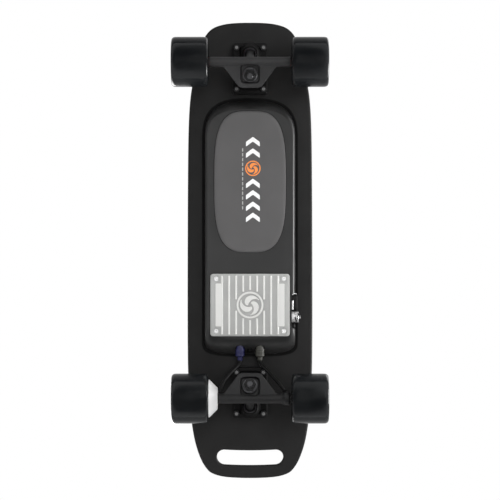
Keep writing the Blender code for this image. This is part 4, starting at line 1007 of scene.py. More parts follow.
def make_display(materials):
    """The window flush with the mat, its frame and a battery icon of four bars."""
    low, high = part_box("display_lens")
    centre = Vector((low + high) / 2).to_2d()
    size = Vector(high - low)
    outer = [Vector(p) for p in rounded_rectangle(size.x - 0.0016, size.y - 0.0016, 0.0015, centre)]
    bezel = ring_ribbon("display_bezel", outer, 0.0008, low.z, high.z, materials["display_frame"], lift=None)
    attach(bezel, "board", "display")
    face = prism(
        "display_face", rounded_rectangle(size.x - 0.0030, size.y - 0.0030, 0.0010, centre), low.z,
        high.z - 0.0003, materials["display"], chamfer=0.0001,
    )
    attach(face, "board", "display", "display_lens")
    top = high.z - 0.0001
    body = [Vector(p) for p in rounded_rectangle(0.0225, 0.0105, 0.0012, centre - Vector((0.0010, 0)))]
    pieces = [ring_ribbon("cell", body, 0.0007, top - 0.0004, top, materials["icon"], lift=None)]
    nub = rounded_rectangle(0.0016, 0.0050, 0.0005, centre + Vector((0.0113, 0)))
    pieces.append(prism("nub", nub, top - 0.0004, top))
    for index in range(4):
        bar = centre + Vector((-0.0010 + (index - 1.5) * 0.0050, 0))
        pieces.append(prism("bar", rounded_rectangle(0.0036, 0.0074, 0.0006, bar), top - 0.0004, top))
    attach(merged("display_icon", pieces, materials["icon"]), "board", "display")


# --- Casing ---------------------------------------------------------------------------------------


def casing_outline(side_inset, front_inset, rear_inset):
    """Plan of the casing from the front tip, down the right side, round the rear tip and back."""
    half = CASING_HALF_WIDTH - side_inset
    front_middle = CASING_FRONT - CASING_FRONT_ROUND
    rear_middle = CASING_REAR + CASING_REAR_ROUND + rear_inset
    right = []
    for step in range(1, 29):
        turn = math.radians(90 - 90 * (step / 28))
        x = half * max(math.cos(turn), 0.0) ** (2 / CASING_FRONT_POWER)
        y = (CASING_FRONT_ROUND - front_inset) * max(math.sin(turn), 0.0) ** (2 / CASING_FRONT_POWER)
        right.append((x, front_middle + y))
    start, end = CASING_STEP
    right += [(half, y) for y in (0.14, 0.11, 0.08, 0.05, 0.028)]
    right += [(half, start + (end - start) * i / 14) for i in range(15)]
    right += [(half, y) for y in (-0.055, -0.075, -0.092)]
    for step in range(18):
        turn = math.radians(90 * step / 18)
        x = half * math.cos(turn) ** (2 / CASING_REAR_POWER)
        y = CASING_REAR_ROUND * math.sin(turn) ** (2 / CASING_REAR_POWER)
        right.append((x, rear_middle - y))
    left = [(-x, y) for x, y in reversed(right)]
    return [(0.0, CASING_FRONT - front_inset)] + right + [(0.0, CASING_REAR + rear_inset)] + left


def casing_depth(y):
    """The casing's depth below its rim, which steps down behind the middle."""
    along = (CASING_STEP[0] - y) / (CASING_STEP[0] - CASING_STEP[1])
    return CASING_DEPTH_FRONT + (CASING_DEPTH_REAR - CASING_DEPTH_FRONT) * smoothstep(along)


def casing_ring(drop, at_sides, at_ends, thickness=0.0):
    """A ring round the casing at a share of its depth and of its insets, thickness inside the surface."""
    outline = casing_outline(
        CASING_SIDE_INSET * at_sides + thickness,
        CASING_FRONT_INSET * at_ends + thickness,
        CASING_REAR_INSET * at_ends + thickness,
    )
    return [(x, y, CASING_RIM - drop * (casing_depth(y) - thickness)) for x, y in outline]


def strip_cap(count, offset):
    """Faces over a ring whose first and middle points are its two tips, as strips across it."""
    faces = [(offset, offset + 1, offset + count - 1)]
    for i in range(1, count // 2 - 1):
        faces.append((offset + i, offset + i + 1, offset + count - i - 1, offset + count - i))
    middle = offset + count // 2
    faces.append((middle - 1, middle, middle + 1))
    return faces


def oval_outline(half_length, half_width, steps=20):
    """A bar with round ends, along X."""
    outline = []
    for side in (1, -1):
        for step in range(steps + 1):
            angle = math.radians(-90 + 180 * step / steps)
            x = half_length - half_width + half_width * math.cos(angle)
            outline.append((side * x, side * half_width * math.sin(angle)))
    return outline


def side_frame(y):
    """A frame on the left side wall at y, whose Z points out of the casing."""
    return frame_along((0, y, FITTING_Z), (-1, 0, 0))


def rear_frame(x, z=FITTING_Z):
    """A frame on the casing's rear slope, whose Z points to the tail."""
    return frame_along((x, 0, z), (0, -1, 0))


def casing_shell(material):
    """The moulded shell's outside and inside, joined by its rim."""
    outer = [casing_ring(*share) for share in CASING_SLOPE]
    inner = []
    for share in ((1.0, 1.0, 1.0), (0.5, 0.2, 0.3), (0.0, 0.0, 0.0)):
        inner.append(casing_ring(*share, CASING_WALL))
    count = len(outer[0])
    verts = [point for ring in outer + inner for point in ring]
    faces = bridge(count, len(outer))
    first_inner = len(outer) * count
    faces += [tuple(index + first_inner for index in face) for face in bridge(count, len(inner))]
    last = (len(outer) + len(inner) - 1) * count
    for i in range(count):
        j = (i + 1) % count
        faces.append((last + i, last + j, j, i))
    faces += strip_cap(count, (len(outer) - 1) * count)
    faces += strip_cap(count, first_inner)
    return solid("casing_shell", verts, faces, material)


def make_casing(materials):
    """The shell with its openings, the lining of its side bay and the seal under its rim."""
    casing = casing_shell(materials["casing"])
    bay_middle = (BAY_FRONT + BAY_REAR) / 2
    bay_length = BAY_FRONT - BAY_REAR
    boss = rounded_rectangle(0.100, 0.076, 0.005, (0, HEATSINK_Y))
    bay = rounded_rectangle(BAY_DEPTH * 2, bay_length, 0.006, (BAY_X - BAY_DEPTH, bay_middle))
    cutters = [prism("window", boss, 0.075, 0.095), prism("bay", bay, 0.07, 0.12)]
    button_low, button_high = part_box("power_button")
    hole = oval_outline((button_high.y - button_low.y) / 2 + 0.0022, 0.0072)
    cutters.append(prism("button_hole", hole, 0.055, 0.080, place=side_frame(centre_of("power_button").y)))
    port = ((0.055, 0), (0.055, 0.0073), (0.0683, 0.0073), (0.0683, 0.0092), (0.080, 0.0092), (0.080, 0))
    cutters.append(turned("port_hole", port, side_frame(centre_of("charge_port").y), segments=48))
    for side in (-1, 1):
        cutters.append(turned("plug_hole", pin(0.115, 0.180, 0.0075), rear_frame(side * PLUG_X), segments=48))
    combine(casing, cutters, "DIFFERENCE")
    attach(casing, "board", "casing", "battery_casing")

    back = rounded_rectangle(0.0018, bay_length + 0.001, 0.0005, (BAY_X + 0.0006, bay_middle))
    roof = rounded_rectangle(0.0066, bay_length + 0.001, 0.0020, (BAY_X - 0.0030, bay_middle))
    lining = [prism("back", back, 0.0832, BAY_TOP), prism("roof", roof, 0.1060, BAY_TOP)]
    attach(merged("fitting_bay", lining, materials["seal_and_shadow"]), "board", "rubber")
    rings = []
    for margin, z in SEAL_SECTION:
        rings.append([(x, y, z) for x, y in casing_outline(margin, margin, margin)])
    attach(ring_solid("casing_seal", rings, materials["seal_and_shadow"]), "board", "rubber", "casing_gasket")


def make_button(materials):
    """The power button with its raised ridge, the bezel round it and the bright trim beside it."""
    low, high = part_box("power_button")
    middle = (low.y + high.y) / 2
    place = side_frame(middle)
    foot, face = -high.x, -low.x
    bezel = prism("bezel", oval_outline(0.0135, 0.0070), 0.0615, 0.0730, materials["rubber"], place, 0.0012)
    opening = prism("opening", oval_outline(0.0124, 0.0059), 0.050, 0.080, place=place)
    combine(bezel, [opening], "DIFFERENCE")
    bezel.name = "button_bezel"
    attach(bezel, "board", "rubber")
    arc = smooth_route([Vector(point) for point in TRIM_ARC], 4)
    bar = [Vector((-0.0654, middle + reach)) for reach in TRIM_BAR]
    trim = [ribbon("arc", arc, 0.0007, 0.0880, 0.0862, lift=None, chamfer=0.0002)]
    trim.append(ribbon("bar", bar, 0.0011, 0.0890, 0.0872, lift=None, chamfer=0.0003))
    attach(merged("fitting_trim", trim, materials["steel"]), "board", "steel")
    button = prism("button_cap", oval_outline(0.0115, 0.0050), foot, face, materials["rubber"], place, 0.0008)
    attach(button, "power_button", "rubber", "power_button")
    rings = []
    for scale, z in ((1.0, face - 0.0006), (1.0, face), (0.85, face), (0.85, face - 0.0006)):
        rings.append([place @ Vector((x * scale, y * scale, z)) for x, y in oval_outline(0.0085, 0.0030)])
    attach(ring_solid("button_ridge", rings, materials["print_white"]), "power_button", "rubber")


def make_casing_plugs(materials):
    """A domed plug in the side bay, and a round eye between the motor plugs."""
    seat = SIDE_PLUG_SEAT
    dome = [(seat - 0.006, 0), (seat - 0.006, 0.0045), (seat + 0.0012, 0.0045), (seat + 0.0022, 0.0032)]
    dome.append((seat + 0.0026, 0))
    knob = turned("side_plug", dome, side_frame(SIDE_PLUG_Y), materials["rubber"], soft=0.0005)
    attach(knob, "board", "rubber")
    eye = ((0.140, 0), (0.140, 0.0044), (0.1560, 0.0044), (0.1570, 0.0036), (0.1570, 0))
    whole = turned("rear_eye", eye, rear_frame(0.0, REAR_EYE_Z), materials["seal_and_shadow"], 48, 0.0003)
    attach(whole, "board", "rubber")


def swirl(name, centre, radius, low, high, material, place=Matrix(), blades=3):
    """A round motif of curved blades inside a thin ring."""
    pieces = []
    for blade in range(blades):
        points, halves = [], []
        for i in range(19):
            t = i / 18
            angle = 2 * math.pi * (blade / blades) + math.radians(150 * t)
            reach = radius * (0.14 + 0.62 * t)
            points.append(Vector((centre[0] + reach * math.cos(angle), centre[1] + reach * math.sin(angle))))
            halves.append(radius * (0.04 + 0.17 * math.sin(math.pi * min(t * 1.08, 1.0)) ** 0.8))
        pieces.append(ribbon("blade", points, halves, low, high, lift=None, chamfer=abs(high - low) * 0.25))
    loop = []
    for i in range(72):
        angle = 2 * math.pi * i / 72
        reach = radius * 0.93
        loop.append(Vector((centre[0] + reach * math.cos(angle), centre[1] + reach * math.sin(angle))))
    pieces.append(ring_ribbon("rim", loop, radius * 0.07, low, high, material, lift=None))
    whole = merged(name, pieces, material)
    whole.data.transform(place)
    return whole


def make_label(materials):
    """A crowned plate of superellipse plan with chevrons, a round motif and dashes printed on it."""
    half_length = (LABEL_FRONT - LABEL_REAR) / 2
    middle = (LABEL_FRONT + LABEL_REAR) / 2
    rings = []
    for shrink, drop in LABEL_EDGE:
        ring = []
        for step in range(LABEL_STEPS):
            angle = 2 * math.pi * step / LABEL_STEPS
            across, along = math.sin(angle), math.cos(angle)
            x = (LABEL_HALF_WIDTH - shrink) * math.copysign(abs(across) ** (2 / LABEL_POWER), across)
            y = middle + (half_length - shrink) * math.copysign(abs(along) ** (2 / LABEL_POWER), along)
            z = CASING_RIM - casing_depth(y) - drop * LABEL_THICKNESS - 0.0001
            ring.append((x, y, z))
        rings.append(ring)
    verts = [point for ring in rings for point in ring]
    faces = bridge(LABEL_STEPS, len(rings)) + strip_cap(LABEL_STEPS, 0)
    faces += strip_cap(LABEL_STEPS, (len(rings) - 1) * LABEL_STEPS)
    attach(solid("label_face", verts, faces, materials["label"]), "board", "label", "label_plate")
    face = rings[-1][0][2]
    low, high = face + 0.0003, face - 0.00018
    marks = []
    for y in PRINT_CHEVRONS:
        marks.append(chevron((PRINT_X, y), PRINT_CHEVRON_SIZE, ((0.0, low), (0.0, high)), 0.0016))
    # A near-black band round the label's edge: a painted shadow line.
    edge = [Vector((x, y)) for x, y, _ in rings[0]]
    shadow_line_low, shadow_line_high = face + 0.0040, face + LABEL_THICKNESS - 0.0006
    shadow_line = ring_ribbon("label_shadow_line", edge, 0.0006, shadow_line_low, shadow_line_high, materials["seal_and_shadow"], None)
    attach(shadow_line, "board", "label")
    attach(merged("label_chevrons", marks, materials["print_white"]), "board", "label")
    emblem = swirl("label_emblem", (PRINT_X, EMBLEM_Y), EMBLEM_RADIUS, low, high, materials["orange"])
    attach(emblem, "board", "label")
    dashes = []
    for index in range(DASHES):
        centre = (DASH_START[0], DASH_START[1] - index * DASH_PITCH)
        dashes.append(prism("dash", rounded_rectangle(0.0016, 0.0052, 0.0007, centre, steps=4), high, low))
    attach(merged("label_dashes", dashes, materials["dash_grey"]), "board", "label")


def socket_screw(radius, height):
    """A socket head along Z from 0 to its height, with a hexagon recess."""
    head = ((-0.002, 0), (-0.002, radius * 0.6), (0.0, radius * 0.98), (height, radius), (height, 0))
    screw = turned("screw", head, segments=40, soft=radius * 0.12)
    socket = prism("socket", hexagon(radius * 0.52), height * 0.25, height + 0.01)
    return combine(screw, [socket], "DIFFERENCE")


def placed_screws(name, radius, height, places, material):
    """One object of socket screws at the places."""
    screw = socket_screw(radius, height)
    whole = merged(name, [copied("screw", screw, place) for place in places], material)
    bpy.data.objects.remove(screw)
    return whole


def heatsink_fins(low):
    """Ribs along the plate that stop at its middle disc, and a pad along each side."""
    fins = []
    half = (HEATSINK_HIGH.y - HEATSINK_LOW.y - 0.006) / 2
    clear = HEATSINK_DISC_RADIUS + 0.0016
    foot = low + 0.0006
    for index in range(-4, 5):
        x = index * HEATSINK_RIB_PITCH
        spans = [(-half, half)]
        if abs(x) < clear:
            reach = math.sqrt(clear ** 2 - x * x)
            spans = [(-half, -reach), (reach, half)]
        for start, end in spans:
            points = [Vector((x, HEATSINK_Y + start + (end - start) * i / 8)) for i in range(9)]
            fins.append(ribbon("rib", points, 0.0015, foot, RIB_TOP_Z, lift=None, chamfer=0.0005))
    for side in (-1, 1):
        pad = rounded_rectangle(*HEATSINK_PAD, 0.0016, (side * HEATSINK_PAD_X, HEATSINK_Y))
        fins.append(prism("pad", pad, RIB_TOP_Z + 0.0001, foot, chamfer=0.0004))
    return fins


def make_heatsink(materials):
    """A finned plate with side pads, corner screw recesses and a round motif in the middle."""
    size = HEATSINK_HIGH - HEATSINK_LOW
    face = HEATSINK_FACE
    low = face - HEATSINK_THICKNESS
    middle = (0, HEATSINK_Y)
    rings = []
    section = [(0.0006, face), (0.0, face - 0.0005), (0.0, low + 0.0007), (0.0002, low + 0.0003)]
    section.append((0.0008, low))
    for shrink, z in section:
        radius = HEATSINK_CORNER_RADIUS - shrink
        outline = rounded_rectangle(size.x - 2 * shrink, size.y - 2 * shrink, radius, middle)
        rings.append([(x, y, z) for x, y in outline])
    plate = loft("heatsink_plate", rings, materials["heatsink"])
    reach_x, reach_y = HEATSINK_SCREWS
    corners = [(sx * reach_x, HEATSINK_Y + sy * reach_y) for sx in (-1, 1) for sy in (-1, 1)]
    recesses = []
    recess = ((low - 0.01, 0), (low - 0.01, 0.0058), (low + 0.0009, 0.0054), (low + 0.0009, 0))
    for x, y in corners:
        recesses.append(turned("recess", recess, Matrix.Translation((x, y, 0)), segments=48))
    disc = pin(low - 0.01, low + 0.0003, HEATSINK_DISC_RADIUS)
    recesses.append(turned("disc", disc, Matrix.Translation((0, HEATSINK_Y, 0)), segments=96))
    combine(plate, recesses, "DIFFERENCE")
    attach(plate, "board", "heatsink", "heatsink")
    # A near-black band round the plate's edge: a painted shadow line.
    edge = [Vector(p) for p in rounded_rectangle(size.x, size.y, HEATSINK_CORNER_RADIUS, middle)]
    shadow_line = ring_ribbon("heatsink_shadow_line", edge, 0.0008, face + 0.0006, face - 0.0008, materials["seal_and_shadow"], None)
    attach(shadow_line, "board", "heatsink")
    bright = materials["heatsink_bright"]
    attach(merged("heatsink_ribs", heatsink_fins(low), bright), "board", "heatsink")
    emblem = swirl("heatsink_emblem", middle, 0.0205, low + 0.0008, RIB_TOP_Z + 0.0002, bright)
    attach(emblem, "board", "heatsink")
    down = Matrix.Rotation(math.pi, 4, "X")
    places = [Matrix.Translation((x, y, low + 0.0010)) @ down for x, y in corners]
    screws = placed_screws("heatsink_screws", 0.0034, 0.0014, places, materials["steel"])
    attach(screws, "board", "steel")


def make_side_fittings(materials):
    """The charge port, its screw cap with a knurled rim, and the tether between them."""
    port_low, port_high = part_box("charge_port")
    port_y = (port_low.y + port_high.y) / 2
    place = side_frame(port_y)
    mouth = -port_low.x
    deep = -port_high.x
    profile = [(deep, 0), (deep, 0.0070), (0.0638, 0.0070), (0.0638, 0.0083), (0.0679, 0.0083)]
    profile += [(0.0679, 0.0073), (0.0687, 0.0073), (0.0687, 0.0085), (0.0700, 0.0085), (0.0700, 0.0070)]
    for index in range(3):
        at = 0.0702 + index * 0.00042
        profile += [(at, 0.0070), (at + 0.0002, 0.0067)]
    profile += [(mouth, 0.0068), (mouth, 0.0048), (mouth - 0.0095, 0.0048), (mouth - 0.0095, 0)]
    port = turned("socket_barrel", profile, place, materials["steel"], soft=0.00012)
    attach(port, "board", "steel", "charge_port")
    contact = [(mouth - 0.0096, 0), (mouth - 0.0096, 0.0011), (mouth - 0.0030, 0.0011)]
    contact += [(mouth - 0.0022, 0.0006), (mouth - 0.0022, 0)]
    attach(turned("socket_pin", contact, place, materials["dark_steel"], 32, 0.0002), "board", "steel")
    cap_low, cap_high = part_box("charge_cap")
    nub, rim = -cap_low.x, -cap_high.x
    face = nub - 0.003
    cap = [(mouth + 0.0003, 0), (mouth + 0.0003, 0.0073), (rim, 0.0073), (rim, 0.0083)]
    cap += [(rim + 0.0009, 0.0085), (rim + 0.0014, 0.0085), (rim + 0.0017, 0.0078), (rim + 0.0021, 0.0078)]
    cap += [(rim + 0.0024, 0.0085)]
    cap += [(face - 0.0006, 0.0085), (face, 0.0078), (face, 0.0032), (nub - 0.0026, 0.0021)]
    cap += [(nub - 0.0014, 0.0021), (nub - 0.0010, 0.0025), (nub - 0.0003, 0.0025), (nub, 0.0019), (nub, 0)]
    body = turned("cap_body", cap, place, materials["steel"], 96, 0.00015)
    attach(body, "charge_cap", "steel", "charge_cap")
    start = Vector((-0.0693, port_y, FITTING_Z - 0.0096))
    end = Vector((cap_low.x + 0.0010, port_y, FITTING_Z - 0.0036))
    points = []
    for step in range(41):
        t = step / 40
        point = start.lerp(end, t)
        point.z -= 0.0095 * math.sin(math.pi * t)
        point.y -= 0.0060 * math.sin(2 * math.pi * t)
        points.append(point)
    tether = tube("cap_tether", points, TETHER_RADIUS, materials["rubber"], 12)
    stretched(tether, "rubber", "charge_tether", ("board", "charge_cap"), start, end)


def make_motor_leads(materials):
    """A ribbed plug on the casing's rear slope and a lead to the rear hanger, on each side."""
    for name, side, finish in (("left", -1, "plug_grey"), ("right", 1, "plug_navy")):
        low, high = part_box(f"motor_plug_{name}")
        near, far = -high.y, -low.y
        sleeve = far - 0.006
        wide = PLUG_RADIUS
        profile = [(near, 0), (near, 0.0060), (near + 0.012, 0.0060), (near + 0.0125, wide)]
        for index in range(3):
            at = near + 0.0150 + index * 0.0022
            profile += [(at, wide), (at + 0.0004, 0.0066), (at + 0.0010, 0.0066), (at + 0.0014, wide)]
        profile += [(sleeve - 0.0012, wide), (sleeve, 0.0056), (sleeve, 0.0042)]
        for index in range(2):
            at = sleeve + 0.0010 + index * 0.0022
            profile += [(at, 0.0040), (at + 0.0004, 0.0035), (at + 0.0010, 0.0035), (at + 0.0014, 0.0039)]
        profile += [(far, 0.0034), (far, 0)]
        plug = turned(f"lead_plug_{name}", profile, rear_frame(side * PLUG_X), materials[finish], 64, 0.0002)
        attach(plug, "board", "rubber", f"motor_plug_{name}")
        route = smooth_route([(side * x, y, z) for x, y, z in LEAD_ROUTE + LEAD_ENDS[name]], 6)
        lead = tube(f"lead_cable_{name}", route, LEAD_RADIUS, materials["cable"], 20)
        stretched(lead, "cable", f"motor_lead_{name}", ("board", "rear_hanger"), route[0], route[-1])


# --- Trucks ---------------------------------------------------------------------------------------


def truck_frame(end):
    """From a truck's own frame to the row's: the axle's centre, turned so that Y points outboard."""
    turn = Matrix.Rotation(0.0 if end == "front" else math.pi, 4, "Z")
    return Matrix.Translation(centre_of(f"axle_{end}")) @ turn


def kingpin_frame():
    """The kingpin's axis in the truck's own frame, from the middle of the hanger's ring."""
    return frame_along(RING_CENTRE, (0, math.sin(KINGPIN_TILT), math.cos(KINGPIN_TILT)))


def welded(name, node, material, flat=False):
    """A copy of a CAD node's mesh with its seams closed and, if flat, its flat faces made whole."""
    obj = new_object(name, NODES[node].data.copy(), material)
    shape = bmesh.new()
    shape.from_mesh(obj.data)
    bmesh.ops.remove_doubles(shape, verts=shape.verts, dist=1e-6)
    if flat:
        bmesh.ops.dissolve_limit(shape, angle_limit=math.radians(1), verts=shape.verts, edges=shape.edges)
    shape.to_mesh(obj.data)
    shape.free()
    return obj


def cast(name, node, material):
    """The CAD node's shape with the soft edges and fillets of a casting."""
    obj = welded(name, node, material)
    remesh = obj.modifiers.new("remesh", "REMESH")
    remesh.mode = "VOXEL"
    remesh.voxel_size = CASTING_VOXEL
    smooth = obj.modifiers.new("smooth", "SMOOTH")
    smooth.factor = 0.5
    smooth.iterations = 5
    thin = obj.modifiers.new("thin", "DECIMATE")
    thin.ratio = CASTING_KEEP
    evaluated(obj)
    obj.data.materials.clear()
    obj.data.materials.append(material)
    shade(obj.data, math.radians(60))
    return obj


def hex_nut(radius, height, bore, material):
    """A hexagon nut along Z from 0 to its height, with chamfered corners."""
    nut = prism("nut", hexagon(radius), 0.0, height, material)
    flat = radius * 0.9
    cone = ((-0.0001, 0), (-0.0001, flat), (height * 0.14, radius * 1.02), (height * 0.86, radius * 1.02))
    cone += ((height + 0.0001, flat), (height + 0.0001, 0))
    combine(nut, [turned("cone", cone, segments=48)], "INTERSECT")
    return combine(nut, [turned("bore", pin(-0.01, height + 0.01, bore), segments=40)], "DIFFERENCE")


def softened(name, node, width, material):
    """A CAD node's shape with bevelled edges."""
    obj = welded(name, node, material, flat=True)
    bevel = obj.modifiers.new("bevel", "BEVEL")
    bevel.width = width
    bevel.segments = 2
    bevel.angle_limit = math.radians(40)
    evaluated(obj)
    shade(obj.data)
    return obj


def make_truck_bolts(end, materials):
    """Four flush bolts through deck and baseplate, with a nut on each below."""
    nut = hex_nut(BOLT_NUT_RADIUS, BOLT_NUT_HEIGHT, 0.0023, materials["black_steel"])
    nodes = [f"truck_bolt_{end}_{index}" for index in range(1, 5)]
    shafts, nuts = [], []
    for node in nodes:
        low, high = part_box(node)
        middle = centre_of(node)
        top = high.z
        profile = [(low.z, 0), (low.z, 0.0020)]
        for turn in range(6):
            at = low.z + 0.0004 + turn * 0.0010
            profile += [(at, BOLT_RADIUS), (at + 0.0005, BOLT_RADIUS - BOLT_THREAD_DEPTH)]
        profile += [(top - 0.0026, BOLT_RADIUS), (top - 0.0003, BOLT_HEAD_RADIUS), (top, 0.0046), (top, 0)]
        shafts.append(turned("shaft", profile, Matrix.Translation((middle.x, middle.y, 0)), segments=32))
        nuts.append(copied("nut", nut, Matrix.Translation((middle.x, middle.y, low.z + 0.0015))))
    bpy.data.objects.remove(nut)
    attach(merged(f"bolt_shafts_{end}", shafts, materials["zinc"]), "board", "steel", *nodes)
    attach(merged(f"bolt_nuts_{end}", nuts, materials["black_steel"]), "board", "steel")


def make_kingpin(end, king, materials):
    """The kingpin along its own axis, its lock nut and the cupped washer under the lower bushing."""
    shaft = KINGPIN_RADIUS
    profile = [(-0.0270, 0), (-0.0270, shaft - 0.0010)]
    for turn in range(9):
        at = -0.0262 + turn * 0.0012
        profile += [(at, shaft), (at + 0.0006, shaft - 0.0005)]
    profile += [(-0.0150, shaft), (0.0418, shaft), (0.0418, 0.0085), (0.0470, 0.0085), (0.0470, 0)]
    bolt = turned(f"kingpin_shaft_{end}", profile, king, materials["dark_steel"], 48)
    attach(bolt, "board", "steel", f"kingpin_{end}")
    face = LOWER_SEAT - 0.0003
    lock = hex_nut(0.0095, 0.0062, shaft + 0.0002, materials["black_steel"])
    lock_nut = copied("lock", lock, king @ Matrix.Translation((0, 0, face - 0.0085 + 0.0009)))
    bpy.data.objects.remove(lock)
    low, high = face - 0.0084, face - 0.0070
    collar = ((low, shaft), (low, 0.0066), (high, 0.0074), (high, shaft))
    pieces = [lock_nut, turned("collar", collar, king, segments=48, soft=0.0003)]
    lock_nut = merged(f"kingpin_lock_nut_{end}", pieces, materials["black_steel"])
    attach(lock_nut, "board", "steel", f"kingpin_nut_{end}")
    cup = [(face, shaft), (face, 0.0098), (face + 0.0016, 0.0106), (face + 0.0016, 0.0112)]
    cup += [(face - 0.0006, 0.0112), (face - 0.0014, 0.0100), (face - 0.0014, shaft)]
    attach(turned(f"cup_washer_{end}", cup, king, materials["dark_steel"], soft=0.0002), "board", "steel")


def make_bushings(end, king, materials):
    """A barrel bushing above the hanger's ring and a cone below it, each between the board and the hanger."""
    bore = KINGPIN_RADIUS + 0.0003
    wide = BUSHING_RADIUS
    low, high = RING_HALF + 0.0003, UPPER_SEAT - 0.0003
    barrel = [(low, bore), (high, bore), (high, wide - 0.0012)]
    for i in range(1, 8):
        t = i / 8
        barrel.append((high + (low - high) * t, wide - 0.0006 + 0.0006 * math.sin(math.pi * t)))
    barrel.append((low, wide - 0.0012))
    bottom, top = LOWER_SEAT, -RING_HALF - 0.0003
    cone = [(bottom, bore), (top, bore), (top, wide), (bottom + 0.001, wide - 0.0018)]
    cone.append((bottom, wide - 0.0026))
    bodies = ("board", f"{end}_hanger")
    for name, section, start, stop in (("upper", barrel, high, low), ("lower", cone, bottom, top)):
        bushing = turned(f"cushion_{name}_{end}", section, king, materials["bushing"], 56, 0.0003)
        ends = [king @ Vector((0, 0, at)) for at in (start, stop)]
        stretched(bushing, "bushing", f"bushing_{name}_{end}", bodies, *ends)


def make_truck(end, materials):
    """The riser, the two castings, the bolts, the kingpin with its bushings, the pivot cup and the axle."""
    truck = truck_frame(end)
    king = truck @ kingpin_frame()
    hanger_body = f"{end}_hanger"
    riser = softened(f"riser_{end}", f"riser_pad_{end}", 0.0006, materials["rubber"])
    attach(riser, "board", "rubber", f"riser_pad_{end}")
    base = cast(f"base_casting_{end}", f"baseplate_{end}", materials["black_metal"])
    attach(base, "board", "black_metal", f"baseplate_{end}")
    # Each hanger takes its own copy of the casting's colour, painted lighter at the front and darker at the
    # rear.
    hanger = cast(f"hanger_casting_{end}", f"hanger_{end}", materials[f"hanger_{end}"])
    attach(hanger, hanger_body, "black_metal", f"hanger_{end}")
    make_truck_bolts(end, materials)
    make_kingpin(end, king, materials)
    make_bushings(end, king, materials)

    stem = truck @ frame_along(PIVOT_CENTRE, PIVOT_CENTRE - STEM_FOOT)
    cup = [(0.0092, 0), (0.0092, 0.0098), (-0.0045, 0.0098), (-0.0052, 0.0088), (-0.0045, 0.0073)]
    cup += [(0.0072, 0.0073), (0.0072, 0)]
    socket = turned(f"pivot_socket_{end}", cup, stem, materials["bushing"], soft=0.0003)
    attach(socket, "board", "bushing", f"pivot_cup_{end}")

    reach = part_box(f"axle_{end}")[1].x
    tip = AXLE_RADIUS - 0.0007
    profile = [(-reach, 0), (-reach, tip), (-reach + 0.0008, AXLE_RADIUS)]
    profile += [(reach - 0.0008, AXLE_RADIUS), (reach, tip), (reach, 0)]
    across = truck @ frame_along((0, 0, 0), (1, 0, 0))
    rod = turned(f"axle_rod_{end}", profile, across, materials["steel"], 48)
    attach(rod, hanger_body, "steel", f"axle_{end}")


# --- Wheels, in a frame on the tyre's centre with Z outwards --------------------------------------


def wheel_frame(end, side_name):
    """A wheel's own frame, on the tyre's centre with Z outwards."""
    outward = 1 if side_name == "right" else -1
    return frame_along(centre_of(f"tyre_{end}_{side_name}"), (outward, 0, 0))


def mirrored(profile):
    """A profile seen from the other side, in reverse order."""
    return [(-along, radius) for along, radius in reversed(profile)]


def both_sides(profile):
    """A profile with its mirror image, from the right edge round to the left."""
    return list(profile) + mirrored(profile)


